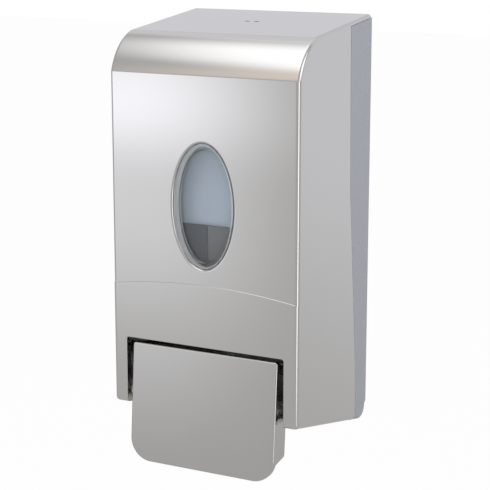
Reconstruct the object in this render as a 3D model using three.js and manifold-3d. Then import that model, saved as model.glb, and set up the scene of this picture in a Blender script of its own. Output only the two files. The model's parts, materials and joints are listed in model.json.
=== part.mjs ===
// A wall-hung liquid soap dispenser with a push lever, in millimetres.
// +Z is up, the front looks along -Y, and the origin is the centre of the face that lies on the wall.
import * as THREE from "three";
import { mergeVertices } from "three/addons/utils/BufferGeometryUtils.js";
import Module from "manifold-3d";

// Case: the outline that the cover and the wall plate share
const caseWidth = 125;
const caseHeight = 261.3;
const caseDepth = 104.5;
const footRise = 25.3; // how far the front foot stands above the foot at the wall
const browDepth = 23.2; // from the brow line to the front, seen from above
const roofFall = 8.3;
const creaseDrop = 31; // from the roof at the wall down to the crease below the brow
const browRadius = 34;
const caseEdgeRadius = 2.5;
const heelRadius = 8;
const coverWall = 2;
const fitGap = 0.3; // clearance between neighbouring pieces
const cutOverrun = 6; // how far a cut runs past what it cuts

// Seam on the side between the cover and the wall plate, as depths from the wall
const seamTopDepth = 32.5;
const seamUpperDepth = 30;
const seamLowerDepth = 18;
const seamFootDepth = 17;
const seamUpperShare = 0.6;
const seamLowerShare = 0.155;
const seamFootShare = 0.06; // the seam runs straight up past the hinge

// Wall plate
const plateWall = 2.5;
const plateRim = 2;
const keyholeRadius = 4.6;
const keyholeSlotWidth = 5.2;
const keyholeSlotLength = 9;
const keyholeSideMargin = 24.5; // from the case's side to the keyholes
const keyholeEndMargin = 32.65;
const standoffHeight = 4;
const standoffRadius = 4;
const bracketWall = 2; // the flanges that stand on the wall plate's standoffs

// Lower front panel with the arched edge
const panelProud = 0.5;
const archCrownHeight = 80.3; // above the front foot
const archRise = 5.2;

// Sight window
const windowHalfWidth = 20.3;
const windowHalfHeight = 37.8;
const windowDrop = 77.4; // from the crease down to the window's middle
const lensLip = 4.2; // how far the flange reaches behind the cover
const lensFlangeThickness = 1.6;
const lensRecess = 0.4;
const lensBandWidth = 3.2;
const lensPaneDip = 1.2;
const retainerBand = 8;
const retainerThickness = 2;
const retainerPostRadius = 3;
const retainerPostAngleDegrees = 45; // round the window, from its middle

// Lever slot in the cover
const slotSideWidth = 9.2; // the cover's leg on each side of the slot
const slotHeight = 41.8;
const slotCornerRadius = 1.5;
const slotFlangeDepth = 4.6;
const slotFlangeWall = 1.5;
const slotFlangeDrop = 3;
const floorNozzleRoom = 5.2; // behind the nozzle, to the rear edge of the floor's opening
const floorRearDepth = 26;
const floorCornerRadius = 8;

// Push lever
const leverSideGap = 4.1; // between the lever's plate and the slot's side
const leverHeight = 74.2;
const leverLeanDegrees = 4.5;
const leverTopGap = 2.6; // below the slot's top edge
const leverTopInset = 0.3; // how far the lever's top edge stands behind the cover's front
const leverFaceThickness = 4;
const leverFaceWall = 1.5;
const leverRim = 1.3;
const leverEdgeBevel = 1;
const leverFootRadius = 14;
const leverHeadRadius = 2;
const frameWeb = 2;
const frameWall = 1.8;
const frameDepth = 14.5; // how far the box reaches behind the web
const frameHeight = 60;
const frameFootChamfer = 4.5;
const pivotSetback = 8; // behind the lever's front face
const pivotDrop = 6; // below the lever's top edge
const pivotEyeRadius = 4;
const rodRadius = 1.5;
const lugMargin = 3.6;
const bushWall = 1;
const clipRoom = 2.2; // between a lug and the cover's side
const clipThickness = 0.8;
const clipRing = 1.6;
const clipMouth = 2.4;
const leverScrewSkin = 0.5; // metal left in front of each screw
const leverScrewMargin = 19.2; // from the lever's side
const leverScrewDrop = 34;

// Pump, driven by the lever
const plungerDrop = 27; // from the lever's pivot down to the plunger's axis
const pusherForward = 4.5; // from the pivot forward to the pusher pad's face
const pusherRadius = 7;
const buttonRadius = 6;
const buttonSkirt = 3;
const plungerStroke = 8.9;
const plungerSpare = 0.9;
const plungerRodRadius = 4;
const plungerTipRadius = 2.6;
const plungerTipLength = 4;
const pistonLength = 6;
const sealRing = 0.8;
const sealGrooveWidth = 2.2;
const pumpBoreRadius = 8;
const pumpWall = 2;
const pumpRearWall = 2.5;
const portRearClearance = 4.5; // from the chamber's rear wall to the ports' axis
const chamberLength = 17.8; // behind the piston at rest
const pumpNeckHeight = 20.75; // from the plunger's axis up to the pump's flange
const capWall = 1.7;
const capFace = 2.5;
const capSkirt = 11.5;
const inletBoreRadius = 4.3;
const inletNeckRadius = 7;
const pumpFlangeThickness = 2;
const outletPortRadius = 2.8;
const spigotLip = 0.5; // the spigot's radius past the valve's flange
const spigotLength = 7;
const nozzleWall = 2;
const nozzleLength = 22;
const nozzleTaperLength = 14;
const nozzleTipRadius = 4.2;
const nozzleBoreRadius = 2.2;
const valveFlangeThickness = 1;
const valveFlangeRadius = 6;
const valveLength = 6;
const valveClearance = 0.4; // between the valve's cone and the inlet's bore
const valveTipRadius = 1.7;
const valveWall = 0.8;

// Tank
const tankSideRoom = 13.5; // between the tank and the cover's inside
const tankSlotRoom = 3.5; // from the lever slot's top up to the tank's foot
const tankRoofRoom = 49.7; // from the case's top down to the tank's
const tankWall = 1.8;
const tankCornerRadius = 9;
const neckRadius = 9.5;
const neckWall = 3;
const gasketThickness = 1.3;
const collarWall = 3.2;
const collarLip = 2;
const collarGrip = 8;
const lidThickness = 2;
const lidSkirt = 6;
const lidSkirtWall = 1.5;
const lidGripLength = 30;
const lidGripWidth = 7;
const lidGripHeight = 3.6;

// Carrier that holds the tank
const carrierWall = 2;
const carrierFrontRoom = 1.1; // between the window's screws and the carrier's front
const carrierWindowDrop = 13.1; // from the window's middle down to the carrier's front edge
const carrierFlangeHeight = 89;
const carrierSideHeight = 53; // above the carrier's underside
const carrierEar = 7.7; // the rear flange's reach past each side
const carrierScrewMargin = 14.8; // from the flange's ends to its screws
const carrierPanelStep = 1.2;
const carrierPanelEdge = -2.2; // the raised half of the front ends here, across the width

// Lock under the roof
const keySlotSpacing = 6.4;
const keySlotWidth = 3;
const keySlotDepth = 1.8;
const latchDepth = 40; // the tooth's middle, from the wall
const toothThickness = 4.4;
const toothHalfWidth = 6;
const toothHeight = 13.5;
const toothRoofGap = 3;
const latchStroke = 6.5;
const latchBaseHalfWidth = 7.7;
const latchBaseReach = 10.6;
const latchBaseThickness = 5;
const keeperWall = 2;
const keeperHalfWidth = 8;
const keeperOverlap = 5.4; // how far the keeper reaches below the tooth's top
const housingWall = 2;
const housingArmHeight = 10;
const housingFlangeHalfWidth = 20;
const housingFlangeHeight = 22;
const housingScrewSpacing = 30;
const latchSpringStack = 4.1; // the spring's room when the latch is down
const seatThickness = 2;
const seatLedge = 1;

// Hinge at the rear foot
const hingeInset = 3.5; // from the seam and from the underside to the hinge's axis
const hingePinRadius = 1.5;
const hingePinHeadRadius = 2.8;
const hingePinHeadHeight = 1.5;
const hingeBossLength = 3;
const hingeLugWidth = 7;
const hingeLugMargin = 0.3;

// Small screws
const screwHeadRadius = 3;
const screwHeadHeight = 1.8;
const screwShankRadius = 1.5;
const screwSlotWidth = 0.8;
const screwSlotDepth = 0.9;
const screwSlotShare = 0.62; // the slot's reach in the head's radius
const leadShare = 0.33; // how much of a pin's radius or a tooth's thickness its lead takes
const shortScrewLength = 4.4;
const longScrewLength = 5.4;

// Springs
const plungerSpringRadius = 5;
const plungerSpringWire = 0.45;
const plungerSpringTurns = 5;
const latchSpringRadius = 3.2;
const latchSpringWire = 0.4;
const latchSpringTurns = 4;

// Counts of facets
const arcSteps = 8;
const cornerSteps = 4;
const roundSegments = 24;
const smallSegments = 12;
const ovalSegments = 40;
const curlSteps = 8;
const wireSides = 5;
const degree = Math.PI / 180;

// Places that several pieces share
const topZ = caseHeight / 2;
const bottomZ = -caseHeight / 2;
const footZ = bottomZ + footRise;
const frontY = -caseDepth;
const creaseZ = topZ - creaseDrop;
const halfWidth = caseWidth / 2;
const roofDepth = caseDepth - browDepth;
const roofSlope = roofFall / roofDepth;
const baseSlope = footRise / caseDepth;
const roofStretch = Math.hypot(1, roofSlope);
const baseStretch = Math.hypot(1, baseSlope);
const roofZ = (y) => topZ + roofSlope * y;
const baseZ = (y) => bottomZ - baseSlope * y;
const standoffFaceY = -(plateWall + standoffHeight);
const bracketRearY = standoffFaceY - fitGap;
const bracketFrontY = bracketRearY - bracketWall;
const windowZ = creaseZ - windowDrop;
const slotTopZ = footZ + slotHeight;
const slotHalfWidth = halfWidth - slotSideWidth;
const lugOuterX = halfWidth - coverWall - clipRoom;
const leverHalfWidth = slotHalfWidth - leverSideGap;

const leverLean = leverLeanDegrees * degree;
const leverTopZ = slotTopZ - leverTopGap;
const leverTopY = frontY + leverTopInset;
const pivotY = leverTopY + pivotSetback * Math.cos(leverLean) - pivotDrop * Math.sin(leverLean);
const pivotZ = leverTopZ - pivotDrop * Math.cos(leverLean) - pivotSetback * Math.sin(leverLean);
const plungerZ = pivotZ - plungerDrop;
const padY = pivotY - pusherForward;
const domeY = padY + fitGap + buttonRadius;
const buttonBackY = domeY + buttonSkirt;
const capFrontY = buttonBackY + plungerStroke + plungerSpare;
const pistonFrontY = capFrontY + capFace + fitGap;
const pistonRearY = pistonFrontY + pistonLength;
const chamberRearY = pistonRearY + chamberLength;
const portY = chamberRearY - portRearClearance;
const pumpFlangeTopZ = plungerZ + pumpNeckHeight;
const pumpFlangeRadius = neckRadius - fitGap;
const spigotRadius = valveFlangeRadius + spigotLip;
const valveRootRadius = inletBoreRadius - valveClearance;

const lensFlangeRearY = frontY + coverWall + fitGap + lensFlangeThickness;
const retainerFrontY = lensFlangeRearY + fitGap;
const retainerRearY = retainerFrontY + retainerThickness;
const carrierPanelY = retainerRearY + fitGap + screwHeadHeight + carrierFrontRoom;
const carrierFrontY = carrierPanelY + carrierPanelStep;
const tankHalfWidth = halfWidth - coverWall - tankSideRoom;
const tankFootZ = slotTopZ + tankSlotRoom;
const tankTopZ = topZ - tankRoofRoom;
const tankFrontY = carrierFrontY + carrierWall + fitGap;
const tankRearY = bracketFrontY - fitGap;
const carrierHalfWidth = tankHalfWidth + fitGap + carrierWall;
const carrierFootZ = tankFootZ - fitGap - carrierWall;
const carrierHeadZ = carrierFootZ + carrierFlangeHeight;
const neckEndZ = pumpFlangeTopZ + fitGap + gasketThickness + fitGap;

const latchY = -latchDepth;
const toothTopZ = roofZ(latchY) - coverWall * roofStretch - toothRoofGap;
const latchBaseTopZ = toothTopZ - toothHeight;
const latchBaseBottomZ = latchBaseTopZ - latchBaseThickness;
const toothRearY = latchY + toothThickness / 2;
const housingTopZ = latchBaseTopZ + fitGap + housingWall;
const springRoom = latchStroke + latchSpringStack;
const seatTopZ = latchBaseBottomZ - fitGap - springRoom - fitGap;

const hingeY = -(seamFootDepth + fitGap / 2 + hingeInset);
const hingeZ = baseZ(hingeY) + hingeInset * baseStretch;
const pinBoreRadius = hingePinRadius + fitGap;
const rodBoreRadius = rodRadius + fitGap;

const wasm = await Module();
wasm.setup();

// Turns a closed geometry into a solid whose faces point out
function solid(geometry) {
  const bare = geometry.clone();
  for (const name of Object.keys(bare.attributes)) {
    if (name !== "position") bare.deleteAttribute(name);
  }
  const merged = mergeVertices(bare);
  const source = merged.index.array;
  const place = merged.attributes.position;
  const triangles = [];
  let sixVolumes = 0;
  const [a, b, c] = [new THREE.Vector3(), new THREE.Vector3(), new THREE.Vector3()];
  for (let i = 0; i < source.length; i += 3) {
    const [p, q, r] = [source[i], source[i + 1], source[i + 2]];
    if (p === q || q === r || r === p) continue;
    triangles.push(p, q, r);
    a.fromBufferAttribute(place, p);
    b.fromBufferAttribute(place, q);
    c.fromBufferAttribute(place, r);
    sixVolumes += a.dot(b.cross(c));
  }
  if (sixVolumes < 0) triangles.reverse();
  return new wasm.Manifold(new wasm.Mesh({
    numProp: 3,
    vertProperties: Float32Array.from(place.array),
    triVerts: Uint32Array.from(triangles),
  }));
}

// Turns a solid back into a geometry for a mesh
function geometryOf(shape) {
  const mesh = shape.getMesh();
  const geometry = new THREE.BufferGeometry();
  geometry.setAttribute("position", new THREE.BufferAttribute(Float32Array.from(mesh.vertProperties), 3));
  geometry.setIndex(new THREE.BufferAttribute(Uint32Array.from(mesh.triVerts), 1));
  geometry.computeVertexNormals();
  return geometry;
}

const join = (...parts) => parts.reduce((whole, part) => whole.add(part));
const cut = (whole, ...parts) => parts.reduce((rest, part) => rest.subtract(part), whole);

// Drawing planes: an outline is drawn across the axis that it is extruded along
const alongX = new THREE.Matrix4().makeBasis(
  new THREE.Vector3(0, 1, 0), new THREE.Vector3(0, 0, 1), new THREE.Vector3(1, 0, 0));
const alongY = new THREE.Matrix4().makeBasis(
  new THREE.Vector3(1, 0, 0), new THREE.Vector3(0, 0, 1), new THREE.Vector3(0, -1, 0));

function extruded(shape, length, options = {}) {
  return new THREE.ExtrudeGeometry(shape, { depth: length, bevelEnabled: false, ...options });
}

// An outline of (y, z) points, extruded from one x to another
function prismX(outline, fromX, toX) {
  const geometry = extruded(outlineShape(outline), toX - fromX);
  geometry.translate(0, 0, fromX);
  return solid(geometry.applyMatrix4(alongX));
}

// An outline of (x, z) points, extruded from one y to a smaller one
function prismY(outline, rearY, frontEndY) {
  const geometry = extruded(outlineShape(outline), rearY - frontEndY);
  geometry.translate(0, 0, -rearY);
  return solid(geometry.applyMatrix4(alongY));
}

// An outline of (x, y) points, extruded from one z to another
function prismZ(outline, fromZ, toZ) {
  const geometry = extruded(outlineShape(outline), toZ - fromZ);
  return solid(geometry.translate(0, 0, fromZ));
}

function outlineShape(outline) {
  return new THREE.Shape(outline.map(([u, v]) => new THREE.Vector2(u, v)));
}

function box(x0, x1, y0, y1, z0, z1) {
  const geometry = new THREE.BoxGeometry(x1 - x0, y1 - y0, z1 - z0);
  return solid(geometry.translate((x0 + x1) / 2, (y0 + y1) / 2, (z0 + z1) / 2));
}

// A cylinder on an axis through (u, v), from one place along the axis to another
function rod(axis, radius, from, to, u, v, segments = roundSegments) {
  const geometry = new THREE.CylinderGeometry(radius, radius, to - from, segments);
  const middle = (from + to) / 2;
  if (axis === "x") geometry.rotateZ(-Math.PI / 2).translate(middle, u, v);
  if (axis === "y") geometry.translate(u, middle, v);
  if (axis === "z") geometry.rotateX(Math.PI / 2).translate(u, v, middle);
  return solid(geometry);
}

// A turned piece on the z axis from (radius, z) points
function turned(profile, segments = roundSegments) {
  const points = profile.map(([radius, z]) => new THREE.Vector2(radius, z));
  const first = points[0];
  const last = points[points.length - 1];
  if (first.x > 0 || last.x > 0) points.push(first.clone());
  const geometry = new THREE.LatheGeometry(points, segments);
  return solid(geometry.rotateX(Math.PI / 2));
}

// The same, on the y axis, with the profile's second value as y
function turnedY(profile, segments = roundSegments) {
  return turned(profile.map(([radius, y]) => [radius, -y]), segments).rotate([90, 0, 0]);
}

function arc(u, v, radius, fromAngle, toAngle, steps = arcSteps) {
  return Array.from({ length: steps + 1 }, (_, i) => {
    const angle = fromAngle + ((toAngle - fromAngle) * i) / steps;
    return [u + radius * Math.cos(angle), v + radius * Math.sin(angle)];
  });
}

function oval(u, v, halfU, halfV, steps = ovalSegments) {
  return Array.from({ length: steps }, (_, i) => {
    const angle = (2 * Math.PI * i) / steps;
    return [u + halfU * Math.cos(angle), v + halfV * Math.sin(angle)];
  });
}

// A rectangle whose lower and upper corners have their own radii
function roundedRectangle(u0, u1, v0, v1, lowRadius, highRadius = lowRadius, steps = cornerSteps) {
  const corner = (u, v, radius, from) => arc(u, v, radius, from, from + Math.PI / 2, steps);
  return [
    ...corner(u1 - lowRadius, v0 + lowRadius, lowRadius, -Math.PI / 2),
    ...corner(u1 - highRadius, v1 - highRadius, highRadius, 0),
    ...corner(u0 + highRadius, v1 - highRadius, highRadius, Math.PI / 2),
    ...corner(u0 + lowRadius, v0 + lowRadius, lowRadius, Math.PI),
  ];
}

// The brow's arc runs from the roof's front edge to the crease
function browArc(inset) {
  const start = new THREE.Vector2(-roofDepth, topZ - roofFall);
  const end = new THREE.Vector2(frontY, creaseZ);
  const chord = end.clone().sub(start);
  const rise = Math.sqrt(browRadius ** 2 - (chord.length() / 2) ** 2);
  const inward = new THREE.Vector2(-chord.y, chord.x).normalize().multiplyScalar(rise);
  const centre = start.clone().add(end).divideScalar(2).add(inward);
  const startAngle = Math.atan2(start.y - centre.y, start.x - centre.x);
  const endAngle = Math.atan2(end.y - centre.y, end.x - centre.x);
  const turn = endAngle < startAngle ? endAngle + 2 * Math.PI : endAngle;
  return arc(centre.x, centre.y, browRadius - inset, startAngle, turn);
}

// The case's side outline, as (y, z) points, drawn inward by an inset and run past the wall
function caseOutline(inset) {
  const innerFrontY = frontY + inset;
  const innerBaseZ = (y) => baseZ(y) + inset * baseStretch;
  const heel = Math.max(heelRadius - inset, fitGap);
  const tilt = Math.atan(baseSlope);
  const heelCentreY = -inset - heel;
  const heelCentreZ = innerBaseZ(heelCentreY) + heel * baseStretch;
  return [
    [cutOverrun, roofZ(cutOverrun) - inset * roofStretch],
    ...browArc(inset),
    [innerFrontY, innerBaseZ(innerFrontY)],
    ...arc(heelCentreY, heelCentreZ, heel, -Math.PI / 2 - tilt, 0, cornerSteps),
    [cutOverrun, heelCentreZ],
  ];
}

// The whole case as a solid block with softened side edges
function caseBlock(inset, shiftY = 0) {
  const soft = Math.max(caseEdgeRadius - inset, fitGap);
  const half = halfWidth - inset;
  const geometry = extruded(outlineShape(caseOutline(inset)), 2 * (half - soft), {
    bevelEnabled: true, bevelThickness: soft, bevelSize: soft, bevelOffset: -soft, bevelSegments: 3,
  });
  geometry.translate(0, 0, soft - half);
  return solid(geometry.applyMatrix4(alongX).translate(0, shiftY, 0));
}

// The seam as (y, z) points from the foot to the roof, moved forward by a shift
function seamLine(shift) {
  const heightAt = (share) => bottomZ + share * caseHeight;
  return [
    [-seamFootDepth - shift, bottomZ - cutOverrun],
    [-seamFootDepth - shift, heightAt(seamFootShare)],
    [-seamLowerDepth - shift, heightAt(seamLowerShare)],
    [-seamUpperDepth - shift, heightAt(seamUpperShare)],
    [-seamTopDepth - shift, topZ],
    [-seamTopDepth - shift, topZ + cutOverrun],
  ];
}

// All that lies behind the seam, up to a slope below the roof
function behindSeam(shift, roofInset) {
  const region = [
    [cutOverrun, bottomZ - cutOverrun],
    [cutOverrun, topZ + cutOverrun],
    ...seamLine(shift).reverse(),
  ];
  const reach = halfWidth + cutOverrun;
  const depth = caseDepth + cutOverrun;
  const underRoof = [
    [cutOverrun, bottomZ - 2 * cutOverrun],
    [cutOverrun, roofZ(cutOverrun) - roofInset * roofStretch],
    [-depth, roofZ(-depth) - roofInset * roofStretch],
    [-depth, bottomZ - 2 * cutOverrun],
  ];
  return prismX(region, -reach, reach).intersect(prismX(underRoof, -reach, reach));
}

function keyholes() {
  return [-1, 1].flatMap((sideX) => [-1, 1].map((sideZ) => {
    const x = sideX * (halfWidth - keyholeSideMargin);
    const z = sideZ * (topZ - keyholeEndMargin);
    const halfSlot = keyholeSlotWidth / 2;
    const hole = rod("y", keyholeRadius, -plateWall - cutOverrun, cutOverrun, x, z);
    const slotEnd = z + keyholeSlotLength;
    const slot = box(x - halfSlot, x + halfSlot, -plateWall - cutOverrun, cutOverrun, z, slotEnd);
    const top = rod("y", halfSlot, -plateWall - cutOverrun, cutOverrun, x, slotEnd);
    return join(hole, slot, top);
  }));
}

const carrierScrewPlaces = [-1, 1].flatMap((side) =>
  [carrierFootZ + carrierScrewMargin, carrierHeadZ - carrierScrewMargin].map((z) =>
    [side * (carrierHalfWidth + carrierEar / 2), z]));
const housingFlangeZ = housingTopZ - housingArmHeight / 2;
const housingScrewPlaces = [-1, 1].map((side) => [(side * housingScrewSpacing) / 2, housingFlangeZ]);
const screwBoreRadius = screwShankRadius + fitGap;
const screwHeadY = bracketFrontY - fitGap;
const boreEndY = screwHeadY + longScrewLength + fitGap;

// Wall plate: a tray whose rims are the rear strips of the case
function backPlate() {
  const outer = caseBlock(0)
    .intersect(behindSeam(-fitGap / 2, coverWall + fitGap))
    .intersect(box(-caseWidth, caseWidth, -caseDepth, 0, -caseHeight, caseHeight));
  const innerTop = coverWall + fitGap + plateRim;
  const outline = [
    [-plateWall, roofZ(-plateWall) - innerTop * roofStretch],
    [frontY, roofZ(frontY) - innerTop * roofStretch],
    [frontY, baseZ(frontY) + plateRim * baseStretch],
    [-heelRadius, baseZ(-heelRadius) + plateRim * baseStretch],
    [-plateWall, baseZ(-heelRadius) + heelRadius - plateRim],
  ];
  const inner = prismX(outline, plateRim - halfWidth, halfWidth - plateRim);
  const tray = cut(outer, inner, ...keyholes());
  const places = [...carrierScrewPlaces, ...housingScrewPlaces];
  const posts = places.map(([x, z]) => rod("y", standoffRadius, standoffFaceY, -plateWall / 2, x, z));
  const bores = places.map(([x, z]) =>
    rod("y", screwBoreRadius, standoffFaceY - cutOverrun, boreEndY, x, z, smallSegments));
  return cut(join(tray, ...posts, ...[-1, 1].map(hingeLug)), ...bores);
}

// The lug on the wall plate that holds a hinge pin
function hingeLug(side) {
  const outerX = halfWidth - coverWall - hingeBossLength - fitGap;
  const [x0, x1] = side > 0 ? [outerX - hingeLugWidth, outerX] : [-outerX, hingeLugWidth - outerX];
  const radius = hingeInset - hingeLugMargin;
  const rearY = -plateWall / 2;
  const arm = prismX([
    [rearY, hingeZ - radius], [rearY, hingeZ + radius * 2], [hingeY, hingeZ + radius],
    [hingeY, hingeZ - radius],
  ], x0, x1);
  const eye = rod("x", radius, x0, x1, hingeY, hingeZ);
  const bore = rod("x", pinBoreRadius, x0 - cutOverrun, x1 + cutOverrun, hingeY, hingeZ);
  return cut(join(arm, eye), bore);
}

// Where the slot's outline is cut through the front
function leverSlot() {
  const low = footZ - caseHeight;
  const outline = roundedRectangle(-slotHalfWidth, slotHalfWidth, low, slotTopZ, 0, slotCornerRadius);
  const throughFront = frontY - panelProud - cutOverrun;
  return prismY(outline, frontY + coverWall + fitGap, throughFront);
}

function floorOpening() {
  const outline = roundedRectangle(
    -slotHalfWidth, slotHalfWidth, frontY - cutOverrun, portY + nozzleBoreTop + nozzleWall + floorNozzleRoom,
    0, floorCornerRadius);
  return prismZ(outline, bottomZ - cutOverrun, footZ + coverWall + fitGap);
}

// The lower panel stands slightly proud, up to an arched line
function lowerPanel() {
  const chord = 2 * halfWidth;
  const radius = (chord ** 2 / 4 + archRise ** 2) / (2 * archRise);
  const crownZ = footZ + archCrownHeight;
  const halfAngle = Math.asin(halfWidth / radius);
  const quarter = Math.PI / 2;
  const top = arc(0, crownZ - radius, radius, quarter - halfAngle, quarter + halfAngle, roundSegments);
  const outline = [[-halfWidth, bottomZ], [halfWidth, bottomZ], ...top];
  const layer = prismY(outline, frontY + coverWall / 2, frontY - panelProud);
  const above = prismX([
    [0, baseZ(0)], [0, topZ], [frontY - panelProud - cutOverrun, topZ],
    [frontY - panelProud - cutOverrun, baseZ(frontY - panelProud - cutOverrun)],
  ], -caseWidth, caseWidth);
  return layer.intersect(caseBlock(0, -panelProud)).intersect(above);
}

const postOffset = lensLip + 2 * fitGap + retainerPostRadius;
const postAngle = retainerPostAngleDegrees * degree;
const retainerPosts = [-1, 1].flatMap((sideX) => [-1, 1].map((sideZ) => [
  sideX * (windowHalfWidth + postOffset) * Math.cos(postAngle),
  windowZ + sideZ * (windowHalfHeight + postOffset) * Math.sin(postAngle),
]));

function coverFittings() {
  const flanges = [-1, 1].map((side) => {
    const [x0, x1] = side > 0
      ? [slotHalfWidth, slotHalfWidth + slotFlangeWall]
      : [-slotHalfWidth - slotFlangeWall, -slotHalfWidth];
    return box(x0, x1, frontY + coverWall / 2, frontY + slotFlangeDepth, footZ, slotTopZ - slotFlangeDrop);
  });
  const lugs = [-1, 1].map((side) => {
    const [x0, x1] = side > 0 ? [slotHalfWidth, lugOuterX] : [-lugOuterX, -slotHalfWidth];
    return box(x0, x1, frontY + coverWall / 2, pivotY + lugMargin, pivotZ - lugMargin, pivotZ + lugMargin);
  });
  const bosses = [-1, 1].map((side) => {
    const inner = halfWidth - coverWall;
    const [x0, x1] = side > 0
      ? [inner - hingeBossLength, inner + coverWall / 2]
      : [-inner - coverWall / 2, hingeBossLength - inner];
    return rod("x", hingeInset, x0, x1, hingeY, hingeZ);
  });
  const posts = retainerPosts.map(([x, z]) =>
    rod("y", retainerPostRadius, frontY + coverWall / 2, lensFlangeRearY, x, z));
  const keeperY = toothRearY + fitGap;
  const keeper = box(-keeperHalfWidth, keeperHalfWidth, keeperY, keeperY + keeperWall,
    toothTopZ - keeperOverlap, roofZ(keeperY) - coverWall / 2);
  return [...flanges, ...lugs, ...bosses, ...posts, keeper];
}

function coverBores() {
  const inner = halfWidth - coverWall;
  const lugBores = [-1, 1].map((side) => {
    const [x0, x1] = side > 0 ? [slotHalfWidth - cutOverrun, inner] : [-inner, cutOverrun - slotHalfWidth];
    return rod("x", rodBoreRadius, x0, x1, pivotY, pivotZ);
  });
  const hingeBores = [-1, 1].map((side) => {
    const reach = hingeBossLength + cutOverrun;
    const [x0, x1] = side > 0 ? [inner - reach, inner] : [-inner, reach - inner];
    return rod("x", pinBoreRadius, x0, x1, hingeY, hingeZ);
  });
  const pilotFrontY = lensFlangeRearY - shortScrewLength + retainerThickness;
  const pilots = retainerPosts.map(([x, z]) =>
    rod("y", screwBoreRadius, pilotFrontY, lensFlangeRearY + fitGap, x, z, smallSegments));
  const keySlots = [-1, 1].map((side) => {
    const x = (side * keySlotSpacing) / 2;
    const [halfAcross, halfAlong] = [keySlotWidth / 2, keySlotDepth / 2];
    return box(x - halfAcross, x + halfAcross, latchY - halfAlong, latchY + halfAlong,
      toothTopZ, topZ + cutOverrun);
  });
  return [...lugBores, ...hingeBores, ...pilots, ...keySlots];
}

// The corner of the cover's side that turns inside the wall plate's rim, rounded about the hinge
function heelCorner() {
  const corner = box(-caseWidth, caseWidth, hingeY, 0, bottomZ - cutOverrun, hingeZ);
  return corner.subtract(rod("x", hingeInset, -caseWidth, caseWidth, hingeY, hingeZ));
}

function frontCover() {
  const wallSide = box(-caseWidth, caseWidth, -caseDepth - cutOverrun, -plateWall / 2,
    -caseHeight, caseHeight);
  const shell = join(caseBlock(0), lowerPanel()).subtract(caseBlock(coverWall)).intersect(wallSide);
  const sides = shell.subtract(behindSeam(fitGap / 2, coverWall));
  const rearFloor = box(coverWall - halfWidth, halfWidth - coverWall, -floorRearDepth, 0,
    bottomZ - cutOverrun, hingeZ + hingeInset);
  const window = prismY(oval(0, windowZ, windowHalfWidth, windowHalfHeight),
    frontY + coverWall + fitGap, frontY - panelProud - cutOverrun);
  const open = cut(sides, heelCorner(), rearFloor, window, leverSlot(), floorOpening());
  return cut(join(open, ...coverFittings()), ...coverBores());
}

function windowLens() {
  const flange = prismY(oval(0, 0, windowHalfWidth + lensLip, windowHalfHeight + lensLip),
    coverWall + fitGap + lensFlangeThickness, coverWall + fitGap);
  const plug = prismY(oval(0, 0, windowHalfWidth - fitGap, windowHalfHeight - fitGap),
    coverWall + 2 * fitGap, lensRecess);
  const pane = prismY(oval(0, 0, windowHalfWidth - lensBandWidth, windowHalfHeight - lensBandWidth),
    lensRecess + lensPaneDip, lensRecess - cutOverrun);
  return cut(join(flange, plug), pane);
}

function windowRetainer() {
  const outer = oval(0, 0, windowHalfWidth + retainerBand, windowHalfHeight + retainerBand);
  const inner = oval(0, 0, windowHalfWidth - fitGap, windowHalfHeight - fitGap);
  const ring = prismY(outer, retainerThickness, 0)
    .subtract(prismY(inner, 2 * retainerThickness, -retainerThickness));
  const holes = retainerPosts.map(([x, z]) =>
    rod("y", screwBoreRadius, -cutOverrun, cutOverrun, x, z - windowZ, smallSegments));
  const ears = retainerPosts.map(([x, z]) =>
    rod("y", retainerPostRadius + fitGap, 0, retainerThickness, x, z - windowZ, smallSegments));
  return cut(join(ring, ...ears), ...holes);
}

// The lever's pieces are drawn about the pivot, upright; their group leans them
const faceFrontY = -pivotSetback;
const faceTopZ = pivotDrop;
const faceBottomZ = faceTopZ - leverHeight;
const webFrontY = faceFrontY + leverFaceWall + fitGap;
const webRearY = webFrontY + frameWeb;
const boxHalfWidth = leverHalfWidth - leverRim - fitGap;
const leverScrewPlaces = [-1, 1].map((side) =>
  [side * (leverHalfWidth - leverScrewMargin), faceTopZ - leverScrewDrop]);
const leverBoreFrontY = faceFrontY + leverScrewSkin;
const leverScrewLength = webRearY - leverBoreFrontY;

function leverPlate() {
  const half = leverHalfWidth;
  const bevel = leverEdgeBevel;
  const outline = roundedRectangle(-half, half, faceBottomZ, faceTopZ, leverFootRadius, leverHeadRadius);
  const geometry = extruded(outlineShape(outline), leverFaceThickness, {
    bevelEnabled: true, bevelThickness: bevel, bevelSize: bevel, bevelOffset: -bevel, bevelSegments: 2,
  });
  geometry.translate(0, 0, -faceFrontY - leverFaceThickness - bevel).applyMatrix4(alongY);
  const trim = box(-caseWidth, caseWidth, faceFrontY - cutOverrun, faceFrontY + leverFaceThickness,
    -caseHeight, caseHeight);
  const inner = roundedRectangle(leverRim - half, half - leverRim,
    faceBottomZ + leverRim, faceTopZ - leverRim, leverFootRadius - leverRim, leverHeadRadius / 2);
  const pocket = prismY(inner, faceFrontY + leverFaceThickness + bevel, faceFrontY + leverFaceWall);
  const bores = leverScrewPlaces.map(([x, z]) =>
    rod("y", screwBoreRadius, leverBoreFrontY, webRearY, x, z, smallSegments));
  return cut(solid(geometry).intersect(trim), pocket, ...bores);
}

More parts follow.
